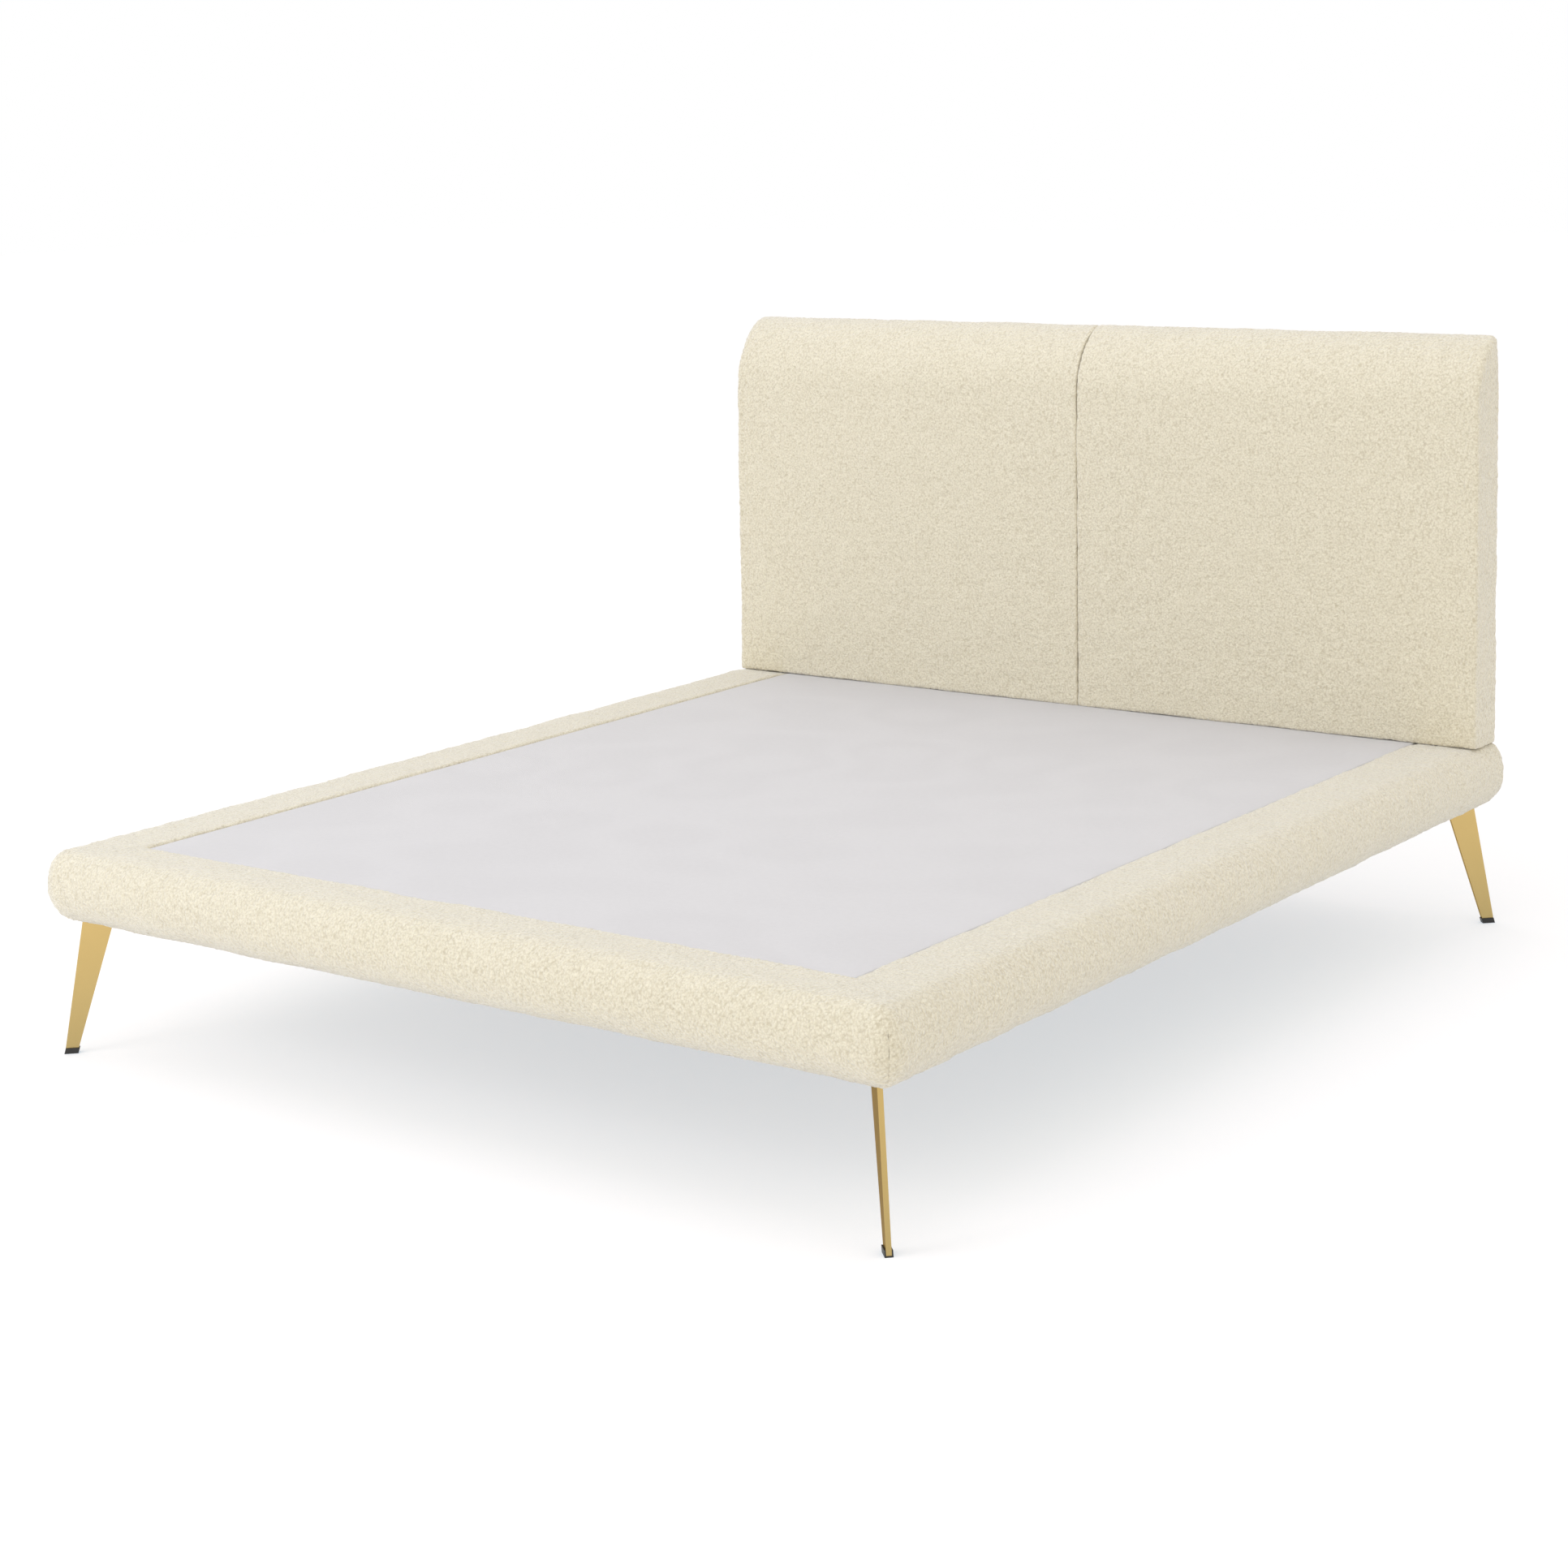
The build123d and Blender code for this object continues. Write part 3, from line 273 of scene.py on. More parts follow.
def coordinates(mesh):
    values = np.empty(len(mesh.vertices) * 3)
    mesh.vertices.foreach_get("co", values)
    return values.reshape(-1, 3)


def normals(mesh):
    values = np.empty(len(mesh.vertices) * 3)
    mesh.vertices.foreach_get("normal", values)
    return values.reshape(-1, 3)


def set_coordinates(mesh, points):
    mesh.vertices.foreach_set("co", points.ravel())
    mesh.update()


def evaluated_points(piece):
    """A piece's points as its modifiers leave them."""
    shown = piece.evaluated_get(bpy.context.evaluated_depsgraph_get())
    return coordinates(shown.data)


def simulate(points, faces, free):
    """Inflate a pad with Cloth and return how far each point moved; free is a point's share of movement."""
    scene = bpy.context.scene
    piece = new_piece("simulated_pad", points, faces)
    pins = piece.vertex_groups.new(name="pins")
    for n, share in enumerate(free):
        pins.add([n], float(1 - share), "REPLACE")
    cloth = piece.modifiers.new("cloth", "CLOTH")
    cloth.settings.quality = 4
    cloth.settings.mass = 0.3
    cloth.settings.tension_stiffness = 15
    cloth.settings.compression_stiffness = 15
    cloth.settings.shear_stiffness = 5
    cloth.settings.bending_stiffness = 0.5
    cloth.settings.use_pressure = True
    cloth.settings.uniform_pressure_force = SIM_PRESSURE
    cloth.settings.effector_weights.gravity = 0
    cloth.settings.vertex_group_mass = "pins"
    cloth.point_cache.frame_start, cloth.point_cache.frame_end = 1, SIM_FRAMES
    for number in range(1, SIM_FRAMES + 1):
        scene.frame_set(number)
    moved = evaluated_points(piece) - coordinates(piece.data)
    scene.frame_set(1)
    bpy.data.meshes.remove(piece.data)
    return moved


def swell(points, coarse, reach):
    """Move a pad's points as the cloth simulation moves its coarse copy, and no point over reach."""
    places, faces, free = coarse
    moved = simulate(places, faces, free)
    length = np.linalg.norm(moved, axis=1)
    usual = max(np.percentile(length[free > 0.5], 90), TINY)
    moved *= (reach * np.tanh(length / usual) * free / np.maximum(length, NEVER_ZERO))[:, None]
    tree = KDTree(len(places))
    for n, place in enumerate(places):
        tree.insert(place, n)
    tree.balance()
    carried = np.empty_like(points)
    for n, place in enumerate(points):
        near = tree.find_n(place, CARRIERS)
        weights = np.array([1 / (distance + 1 * MM) ** 2 for _, _, distance in near])
        carried[n] = weights @ moved[[number for _, number, _ in near]] / weights.sum()
    return points + carried


def subdivide(piece):
    """Apply one level of subdivision surface."""
    modifier = piece.modifiers.new("subdivision", "SUBSURF")
    modifier.levels = 1
    modifier.render_levels = 1
    graph = bpy.context.evaluated_depsgraph_get()
    smoothed = bpy.data.meshes.new_from_object(piece.evaluated_get(graph))
    piece.modifiers.clear()
    rough, piece.data = piece.data, smoothed
    name = piece.name
    bpy.data.meshes.remove(rough)
    smoothed.name = name
    smoothed.polygons.foreach_set("use_smooth", [True] * len(smoothed.polygons))


def nub_surface(piece):
    """Lift the cloth into its relief, which is the same on both sides of a seam."""
    mesh = piece.data
    points, outward = coordinates(mesh), normals(mesh)
    lift = sum(height * ripples(points, *waves) for height, *waves in RELIEF)
    set_coordinates(mesh, points + outward * lift[:, None])


def thicken(piece, thickness):
    """Give a sheet its thickness, all of it behind the face that shows."""
    modifier = piece.modifiers.new("thickness", "SOLIDIFY")
    modifier.thickness = thickness
    modifier.offset = -1


# ---------------------------------------------------------------- shader helpers
def link_or_set(tree, socket, value):
    """Link a socket from another one, or give it a plain value."""
    if isinstance(value, bpy.types.NodeSocket):
        tree.links.new(value, socket)
    else:
        socket.default_value = value


def add_node(tree, kind, settings=None, **inputs):
    """A node with its settings and inputs; an input is given a value, or a socket to link from."""
    node = tree.nodes.new(kind)
    for key, value in (settings or {}).items():
        setattr(node, key, value)
    for key, value in inputs.items():
        link_or_set(tree, node.inputs[key.replace("_", " ")], value)
    return node


def combine(tree, operation, first, second=0.0):
    """Output of a math node."""
    node = tree.nodes.new("ShaderNodeMath")
    node.operation = operation
    link_or_set(tree, node.inputs[0], first)
    link_or_set(tree, node.inputs[1], second)
    return node.outputs[0]


def scaled(tree, value, factor):
    return combine(tree, "MULTIPLY", value, factor)


def mix_colour(tree, factor, first, second):
    """Blend two colours, which are inputs 6 and 7 and output 2 of a mix node."""
    node = tree.nodes.new("ShaderNodeMix")
    node.data_type = "RGBA"
    link_or_set(tree, node.inputs[0], factor)
    link_or_set(tree, node.inputs[6], first)
    link_or_set(tree, node.inputs[7], second)
    return node.outputs[2]


def colour_ramp(tree, factor, stops):
    """Colour by factor; stops are (position, (r, g, b))."""
    node = tree.nodes.new("ShaderNodeValToRGB")
    elements = node.color_ramp.elements
    while len(elements) < len(stops):
        elements.new(0.5)
    for element, (position, colour) in zip(elements, stops):
        element.position = position
        element.color = (*colour, 1)
    tree.links.new(factor, node.inputs[0])
    return node.outputs[0]


def object_place(tree):
    return tree.nodes.new("ShaderNodeTexCoord").outputs["Object"]


def scaled_place(tree, scale):
    """Object coordinates stretched by scale along x, y and z."""
    return add_node(tree, "ShaderNodeMapping", Vector=object_place(tree), Scale=scale).outputs[0]


def noise(tree, place, scale, detail, roughness=0.5):
    node = add_node(tree, "ShaderNodeTexNoise", Vector=place, Scale=scale, Detail=detail, Roughness=roughness)
    return node.outputs["Fac"]


def cells(tree, place, scale, feature="F1"):
    """Distance from the middle of the nearest cell."""
    node = add_node(tree, "ShaderNodeTexVoronoi", {"feature": feature}, Vector=place, Scale=scale)
    return node.outputs["Distance"]


def bump(tree, height, distance, strength):
    return add_node(tree, "ShaderNodeBump", Height=height, Distance=distance, Strength=strength).outputs[0]


def waves_along(tree, place, axis, scale):
    """Slightly wavering bands across one axis."""
    settings = {"bands_direction": axis}
    node = add_node(tree, "ShaderNodeTexWave", settings, Vector=place, Scale=scale, Distortion=0.4)
    return node.outputs["Fac"]


def offset_place(tree, operation, first, second):
    """Output of a vector math node that adds or subtracts."""
    node = add_node(tree, "ShaderNodeVectorMath", {"operation": operation})
    link_or_set(tree, node.inputs[0], first)
    link_or_set(tree, node.inputs[1], second)
    return node.outputs[0]


def new_material(name, **constants):
    """A Principled material; constants are set on the shader's own sockets."""
    material = bpy.data.materials.new(name)
    material.use_nodes = True
    tree = material.node_tree
    shader = tree.nodes["Principled BSDF"]
    for key, value in constants.items():
        shader.inputs[key.replace("_", " ")].default_value = value
    return material, tree, shader


def wire(tree, shader, **sockets):
    """Link sockets into the shader's inputs."""
    for key, socket in sockets.items():
        tree.links.new(socket, shader.inputs[key.replace("_", " ")])


# ---------------------------------------------------------------- materials
def boucle():
    """Looped cream cloth: round nubs about 4 mm apart, curled fibres on them, warm shadow between."""
    material, tree, shader = new_material(
        "boucle_cream", Roughness=0.95, Sheen_Weight=1.0, Sheen_Roughness=0.42, Specular_IOR_Level=0.1)
    place = scaled_place(tree, (1, 1, 1))
    bend = add_node(tree, "ShaderNodeTexNoise", Vector=place, Scale=160.0, Detail=1.0).outputs["Color"]
    centred = offset_place(tree, "SUBTRACT", bend, (0.5, 0.5, 0.5))
    short = add_node(tree, "ShaderNodeVectorMath", {"operation": "SCALE"}, Scale=0.0045)
    tree.links.new(centred, short.inputs[0])
    curled = offset_place(tree, "ADD", place, short.outputs[0])
    nubs = combine(tree, "SUBTRACT", 1.0, cells(tree, curled, 260.0, "SMOOTH_F1"))
    loops = combine(tree, "SUBTRACT", 1.0, cells(tree, curled, 620.0))
    fibres = noise(tree, place, scale=1500.0, detail=3.0, roughness=0.6)
    height = combine(tree, "ADD", nubs, scaled(tree, loops, 0.4))
    height = combine(tree, "ADD", height, scaled(tree, fibres, 0.25))
    shadow, crest = (0.635, 0.57, 0.42), (0.895, 0.84, 0.672)
    shade = colour_ramp(tree, combine(tree, "SUBTRACT", height, 0.35), [(0.2, shadow), (0.8, crest)])
    patches = scaled(tree, noise(tree, place, scale=9.0, detail=3.0), 0.12)
    colour = mix_colour(tree, patches, shade, (0.70, 0.635, 0.465, 1))
    wire(tree, shader, Base_Color=colour, Normal=bump(tree, height, distance=0.003, strength=0.75))
    return material


def flat_cloth(name, colour, darker, thread):
    """Plain woven cloth with a fine over-and-under thread."""
    material, tree, shader = new_material(name, Roughness=0.9, Sheen_Weight=0.12, Specular_IOR_Level=0.15)
    place = scaled_place(tree, (1, 1, 1))
    warp, weft, upright = [waves_along(tree, place, axis, thread) for axis in "XYZ"]
    weave = combine(tree, "ADD", warp, combine(tree, "ADD", weft, upright))
    slubs = noise(tree, place, scale=90.0, detail=4.0)
    shade = combine(tree, "ADD", scaled(tree, weave, 0.2), scaled(tree, slubs, 0.5))
    tone = colour_ramp(tree, shade, [(0.2, darker), (0.8, colour)])
    wire(tree, shader, Base_Color=tone, Normal=bump(tree, weave, distance=0.0003, strength=0.5))
    return material


def foam():
    """Cut foam with open pores."""
    material, tree, shader = new_material(
        "foam", Roughness=1.0, Specular_IOR_Level=0.1, Subsurface_Weight=0.05)
    pores = cells(tree, scaled_place(tree, (1, 1, 1)), 700.0)
    tone = colour_ramp(tree, pores, [(0.1, (0.62, 0.55, 0.36)), (0.6, (0.86, 0.81, 0.62))])
    wire(tree, shader, Base_Color=tone, Normal=bump(tree, pores, distance=0.0006, strength=0.6))
    return material


def timber(name, light, dark, grain_axis):
    """Sawn wood, its rings stretched along the piece's length (0, 1 or 2 for x, y or z)."""
    material, tree, shader = new_material(name, Roughness=0.62, Specular_IOR_Level=0.3)
    stretch = [1.0, 1.0, 1.0]
    stretch[grain_axis] = 0.07
    place = scaled_place(tree, stretch)
    rings = noise(tree, place, scale=34.0, detail=5.0, roughness=0.6)
    lines = combine(tree, "FRACT", scaled(tree, rings, 9.0))
    pores = noise(tree, place, scale=620.0, detail=2.0)
    grain = combine(tree, "ADD", scaled(tree, lines, 0.7), scaled(tree, pores, 0.35))
    tone = colour_ramp(tree, grain, [(0.1, light), (0.95, dark)])
    rough = combine(tree, "ADD", scaled(tree, grain, 0.15), 0.52)
    wire(tree, shader, Base_Color=tone, Roughness=rough,
         Normal=bump(tree, grain, distance=0.0004, strength=0.5))
    return material


def plywood(name, ply_axis):
    """Plywood with its plies showing as stripes across the given axis at the cut edges."""
    material, tree, shader = new_material(name, Roughness=0.6, Specular_IOR_Level=0.3)
    ply = 2.0 * MM
    across = add_node(tree, "ShaderNodeSeparateXYZ", Vector=object_place(tree)).outputs[ply_axis]
    layer = combine(tree, "DIVIDE", combine(tree, "PINGPONG", across, ply), ply)
    face = noise(tree, scaled_place(tree, (1.0, 0.08, 1.0)), scale=30.0, detail=4.0)
    tone = colour_ramp(tree, face, [(0.3, (0.55, 0.40, 0.24)), (0.7, (0.74, 0.59, 0.40))])
    tone = mix_colour(tree, scaled(tree, layer, 0.35), tone, (0.42, 0.28, 0.15, 1))
    wire(tree, shader, Base_Color=tone, Normal=bump(tree, face, distance=0.0004, strength=0.4))
    return material


def brass():
    """Satin-brushed brass plate: fine lines up the blade, and painted shade near the floor for the dark floor
    under the bed that it reflects.
    """
    material, tree, shader = new_material(
        "brass_satin", Metallic=1.0, Roughness=0.3, Specular_Tint=(0.45, 0.36, 0.28, 1))
    brushed = noise(tree, scaled_place(tree, (1.0, 1.0, 0.03)), scale=1700.0, detail=2.0)
    clouds = noise(tree, scaled_place(tree, (1, 1, 1)), scale=14.0, detail=3.0)
    # painted shade: the brass darkens towards the floor, standing in for the shaded floor under the bed that
    # it reflects
    height = add_node(tree, "ShaderNodeSeparateXYZ", Vector=object_place(tree)).outputs[2]
    painted_shade = add_node(tree, "ShaderNodeMapRange", Value=height, From_Min=0.0, From_Max=0.25,
                    To_Min=1.0, To_Max=0.0).outputs[0]
    # the last colour is the darker brass of that painted shade
    bright, cloudy, shaded_brass = (0.65, 0.475, 0.19, 1), (0.58, 0.415, 0.165, 1), (0.45, 0.35, 0.155, 1)
    tone = mix_colour(tree, scaled(tree, clouds, 0.5), bright, cloudy)
    tone = mix_colour(tree, scaled(tree, painted_shade, 0.75), tone, shaded_brass)
    rough = combine(tree, "ADD", scaled(tree, brushed, 0.12), 0.26)
    wire(tree, shader, Base_Color=tone, Roughness=rough,
         Normal=bump(tree, brushed, distance=0.00008, strength=0.5))
    return material


def moulded_plastic(name, colour, roughness):
    """Black plastic with a moulded grain and paler scuffs."""
    material, tree, shader = new_material(name, Specular_IOR_Level=0.4)
    place = scaled_place(tree, (1, 1, 1))
    grain = noise(tree, place, scale=900.0, detail=2.0)
    scuffs = noise(tree, place, scale=45.0, detail=5.0, roughness=0.7)
    paler = tuple(c * 1.8 + 0.01 for c in colour)
    tone = colour_ramp(tree, scuffs, [(0.35, colour), (0.8, paler)])
    rough = combine(tree, "ADD", scaled(tree, scuffs, 0.2), roughness - 0.1)
    wire(tree, shader, Base_Color=tone, Roughness=rough,
         Normal=bump(tree, grain, distance=0.0001, strength=0.4))
    return material


def metal(name, colour, darker, roughness, metallic=1.0):
    """Plated or coated steel with a cloudy surface."""
    material, tree, shader = new_material(name, Metallic=metallic)
    place = scaled_place(tree, (1, 1, 1))
    clouds = noise(tree, place, scale=60.0, detail=5.0, roughness=0.65)
    specks = noise(tree, place, scale=1200.0, detail=1.0)
    tone = colour_ramp(tree, clouds, [(0.3, darker), (0.7, colour)])
    rough = combine(tree, "ADD", scaled(tree, clouds, 0.2), roughness - 0.1)
    wire(tree, shader, Base_Color=tone, Roughness=rough,
         Normal=bump(tree, specks, distance=0.00006, strength=0.4))
    return material


def slot_materials():
    """Materials by the record's slot name; the woods and plywood are lists, with one for each axis."""
    pine_light, pine_dark = (0.72, 0.53, 0.32), (0.50, 0.32, 0.16)
    birch_light, birch_dark = (0.80, 0.65, 0.45), (0.62, 0.45, 0.27)
    coat, coat_dark = (0.035, 0.035, 0.037), (0.02, 0.02, 0.02)
    return {
        "boucle_cover": boucle(),
        "deck_cloth": flat_cloth("deck_cloth_grey", (0.685, 0.675, 0.677), (0.64, 0.63, 0.632), 420.0),
        "lining_cloth": flat_cloth("lining_cloth_cream", (0.70, 0.65, 0.55), (0.60, 0.55, 0.45), 260.0),
        "foam": foam(),
        "frame_wood": [timber(f"pine_{axis}", pine_light, pine_dark, n) for n, axis in enumerate("xyz")],
        "slat_wood": [timber(f"birch_{axis}", birch_light, birch_dark, n) for n, axis in enumerate("xyz")],
        "plywood": [plywood(f"plywood_{axis}", n) for n, axis in enumerate("xyz")],
        "leg_brass": brass(),
        "glide_plastic": moulded_plastic("glide_black", (0.018, 0.017, 0.016), 0.45),
        "pad_plastic": moulded_plastic("pad_black", (0.025, 0.025, 0.025), 0.6),
        "black_steel": metal("powder_coat_black", coat, coat_dark, 0.5, metallic=0.0),
        "zinc_steel": metal("zinc_plate", (0.72, 0.73, 0.74), (0.55, 0.56, 0.55), 0.32),
        "bracket_steel": metal("pressed_steel", (0.60, 0.61, 0.63), (0.46, 0.47, 0.49), 0.38),
    }


def dress_nodes(materials):
    """Give every CAD node its slot's material, with wood grain along the node's longest side."""
    for subpart in frame["record"]["subparts"]:
        node, slot = subpart["node"], subpart["material_slot"]
        low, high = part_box(node)
        size = list(high - low)
        chosen = materials[slot]
        if slot == "plywood":
            chosen = chosen[size.index(min(size))]
        elif isinstance(chosen, list):
            chosen = chosen[size.index(max(size))]
        mesh = frame["nodes"][node].data
        mesh.materials.clear()
        mesh.materials.append(chosen)


# ---------------------------------------------------------------- padded rails
def corner_arc(offset, travel, sense):
    """Point on the rounded part of a foot corner: offset in from the nose, travel from the mitre.

    sense is 1 towards the foot rail and -1 towards the side rail.
    """
    centre = np.array([NOSE_X - PLAN_RADIUS, NOSE_Y + PLAN_RADIUS])
    radius = PLAN_RADIUS - offset
    turn = travel / np.maximum(radius, NEVER_ZERO)
    angle = pi / 4 + sense * turn
    return centre[0] + radius * np.cos(angle), centre[1] - radius * np.sin(angle)


def rail_section(across, z, inset):
    """Round a rail's section; across runs from the ledge's inner edge (0) out to the nose."""
    inner, outer = inset, SIDE_DEPTH - inset
    low, high = RAIL_BOTTOM + inset, RAIL_TOP - inset
    a = rescale(across, 0, SIDE_DEPTH, inner, outer)
    b = rescale(z, RAIL_BOTTOM, RAIL_TOP, low, high)
    a, b = round_edge(a, b, outer, high, NOSE_TOP_DEPTH - inset, high - NOSE_MID_Z)
    a, b = round_edge(a, b, outer, low, NOSE_BOTTOM_DEPTH - inset, low - NOSE_MID_Z)
    edge = np.maximum(LEDGE_EDGE - inset, LEAST_EDGE)
    a, b = round_edge(a, b, inner, high, -edge, edge)
    a, b = round_edge(a, b, inner, low, -edge / 2, -edge / 2)
    return a, b


def foot_offset(offset):
    """The foot ledge is narrower than the side ledges, so offsets beyond the nose shrink along the mitre."""
    shrink = (FOOT_DEPTH - NOSE_BOTTOM_DEPTH) / (SIDE_DEPTH - NOSE_BOTTOM_DEPTH)
    return np.minimum(offset, NOSE_BOTTOM_DEPTH) + np.maximum(offset - NOSE_BOTTOM_DEPTH, 0) * shrink


def turn_corner(travel, offset, along_side):
    """Plan position of a rail's points near the foot corner.

    travel is measured along the nose from the mitre, and offset in from the nose, as the side rail has it.
    """
    across = offset if along_side else foot_offset(offset)
    radius = np.maximum(PLAN_RADIUS - across, 0)
    arc = radius * pi / 4
    nose_length = PLAN_RADIUS * pi / 4 + CORNER_ZONE
    if along_side:
        bend_end, out = NOSE_Y + PLAN_RADIUS, 1
    else:
        bend_end, out = NOSE_X - PLAN_RADIUS, -1
    zone_end = bend_end + out * CORNER_ZONE
    mitre = NOSE_Y + foot_offset(offset) if along_side else NOSE_X - offset
    start = np.where(across < PLAN_RADIUS, bend_end, mitre)
    length = arc + out * (zone_end - start)
    here = np.clip(travel / nose_length, 0, 1) * length
    straight = start + out * (here - arc) + out * np.maximum(travel - nose_length, 0)
    bent_x, bent_y = corner_arc(across, here, -out)
    bent = here < arc
    if along_side:
        return np.where(bent, bent_x, NOSE_X - across), np.where(bent, bent_y, straight)
    return np.where(bent, bent_x, straight), np.where(bent, bent_y, NOSE_Y + across)


def mitre_groove(travel, z):
    """The corner seam sinks into the nose and is pulled flat on the ledge."""
    near = np.clip(1 - travel / MITRE_HALF_WIDTH, 0, 1)
    return MITRE_GROOVE * near ** 2 * ramp(z, RAIL_TOP - MITRE_START, RAIL_TOP - MITRE_FULL)


def nose_share(points, depth_in):
    """How free the padding is to swell: fully at the nose, little on the ledge, not at all on the timber."""
    nose = ramp(depth_in, NOSE_HELD, NOSE_FREE)
    ledge = LEDGE_SHARE * (points[:, 2] > RAIL_TOP - LEDGE_SKIN)
    return np.maximum(nose, ledge)


def side_pad(step):
    """Right-hand rail's padding: lattice along its length, across and up, then shaped; open at the mitre."""
    nose_length = PLAN_RADIUS * pi / 4 + BACK_Y - NOSE_Y - PLAN_RADIUS
    axes = [
        graded(0, nose_length, step, 2 * MITRE_HALF_WIDTH, END_ROLL),
        graded(0, SIDE_DEPTH, step),
        graded(RAIL_BOTTOM, RAIL_TOP, step),
    ]
    points, faces = lattice_shell(axes, open_sides=[(0, 0)])
    travel, across, z = points.T
    head_inset, back_in = roll(nose_length - travel, END_ROLL)
    travel = np.where(travel < nose_length / 2, travel, nose_length - back_in)
    across, z = rail_section(across, z, head_inset + mitre_groove(travel, z))
    x, y = turn_corner(travel, SIDE_DEPTH - across, True)
    under_panel = ramp(y, BOARD_LOW.y - PRESS_AHEAD, BOARD_LOW.y)
    under_panel *= ramp(x, BOARD_HIGH.x + PRESS_BEYOND, BOARD_HIGH.x - PRESS_WITHIN)
    z = z - BOTTOM_SAG * under_panel * ramp(z, NOSE_MID_Z, RAIL_TOP)
    points = np.stack([x, y, z], axis=1)
    ends = ramp(travel, 0, MITRE_HOLD) * ramp(nose_length - travel, 0, END_HOLD)
    # the lattice's axes are left-handed here, so its faces are turned over
    return points, [face[::-1] for face in faces], nose_share(points, NOSE_X - x) * ends


def foot_pad(step):
    """Foot rail's padding, open at the mitres at both its ends."""
    half = PLAN_RADIUS * pi / 4 + NOSE_X - PLAN_RADIUS
    axes = [
        graded(-half, half, step, 2 * MITRE_HALF_WIDTH, 2 * MITRE_HALF_WIDTH),
        graded(0, SIDE_DEPTH, step),
        graded(RAIL_BOTTOM, RAIL_TOP, step),
    ]
    points, faces = lattice_shell(axes, open_sides=[(0, 0), (0, 1)])
    along, across, z = points.T
    travel = half - np.abs(along)
    across, z = rail_section(across, z, mitre_groove(travel, z))
    x, y = turn_corner(travel, SIDE_DEPTH - across, False)
    # the sweep runs from the right-hand mitre; the left half is its mirror image
    points = np.stack([np.sign(along) * x, y, z], axis=1)
    free = nose_share(points, y - NOSE_Y) * ramp(travel, 0, MITRE_HOLD)
    return points, [face[::-1] for face in faces], free


# ---------------------------------------------------------------- headboard
def headboard_pad(step):
    """Right-hand panel: bullnose at the top of its front, rolled into the centre seam, soft at its end."""
    seam, end = BOARD_LOW.x - SEAM_CLOSE, BOARD_HIGH.x + NAP
    front, back = BOARD_LOW.y, BOARD_HIGH.y
    bottom, top = BOARD_LOW.z, BOARD_HIGH.z
    axes = [
        graded(seam, end, step, 3 * SEAM_ROLL, 2 * TOP_EDGE),
        graded(front, back, step),
        graded(bottom, top, step),
    ]
    points, faces = lattice_shell(axes)
    x, y, z = points.T
    high_up = ramp(z, top - BULLNOSE_HEIGHT, top)
    edge = FRONT_EDGE + (TOP_EDGE - FRONT_EDGE) * high_up
    seam_inset, seam_along = roll(x - seam, SEAM_ROLL)
    end_inset, end_along = roll(end - x, edge)
    top_inset = roll(end - x, TOP_EDGE)[0] + seam_inset
    inset = seam_inset + end_inset
    x = np.where(x < (seam + end) / 2, seam + seam_along, end - end_along)
    y = rescale(y, front, back, front + inset, back - inset)
    z = rescale(z, bottom, top, bottom, top - top_inset)
    depth, height = BULLNOSE_DEPTH - inset, BULLNOSE_HEIGHT - top_inset
    y, z = round_edge(y, z, front + inset, top - top_inset, -depth, height, BULLNOSE_POWER)
    back_edge = np.maximum(BACK_RADIUS - inset, LEAST_BACK_RADIUS)
    y, z = round_edge(y, z, back - inset, top - top_inset, back_edge, back_edge)
    y, z = round_edge(y, z, front + inset, bottom, -BOTTOM_EDGE, -BOTTOM_EDGE)
    z = z - BOTTOM_SAG * ramp(z, bottom + SAG_HEIGHT, bottom)
    width = end - seam
    x = seam + (x - seam) * (1 - LEAN / width * (z - bottom) / (top - bottom))
    free = ramp(y, front + PANEL_HELD, front + PANEL_FREE) * ramp(z, bottom, bottom + PANEL_EDGE_HOLD)
    free *= ramp(x, seam, seam + SEAM_HOLD) * ramp(end - x, LEAN, LEAN + PANEL_EDGE_HOLD)
    beyond_lining = np.maximum(x - LINING_HIGH.x, z - LINING_HIGH.z)
    # between the side rails the lining's tongue runs on down past the pad, and hides all of its back
    below_shoulder = np.where(x < DECK_HIGH.x, beyond_lining, LINING_SHOULDER - z)
    past_hem = np.maximum(beyond_lining, below_shoulder)
    open_back = (y > back - BACK_SKIN) & (past_hem < -TUCK_WIDTH)
    y = y - TUCK * ramp(past_hem, TUCK_BEYOND, -TUCK_WITHIN) * ramp(y, back - TUCK, back)
    return drop_faces(np.stack([x, y, z], axis=1), faces, free, open_back)


# ---------------------------------------------------------------- padded pieces
def mirrored(points, faces, free):
    """The left-hand one of a pair."""
    return points * np.array([-1, 1, 1]), [face[::-1] for face in faces], free


def make_pad(name, build, left, reach, materials, replaced):
    """A padded piece: shaped lattice, swollen by the simulation, subdivided and given its nubs."""
    shaped, coarse = build(STEP), build(SIM_STEP)
    if left:
        shaped, coarse = mirrored(*shaped), mirrored(*coarse)
    points, faces, _ = shaped
    piece = new_piece(name, swell(points, coarse, reach), faces)
    subdivide(piece)
    nub_surface(piece)
    piece.data.materials.append(materials["boucle_cover"])
    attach(piece, "root")
    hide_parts(*replaced)


def make_pads(materials):
    for side in ("right", "left"):
        left = side == "left"
        make_pad(f"side_pad_{side}", side_pad, left, RAIL_REACH, materials,
                 (f"side_cover_{side}", f"side_foam_{side}"))
        make_pad(f"headboard_pad_{side}", headboard_pad, left, PANEL_REACH, materials,
                 (f"headboard_cover_{side}", f"headboard_foam_{side}"))
    make_pad("foot_pad", foot_pad, False, RAIL_REACH, materials, ("foot_cover", "foot_foam"))


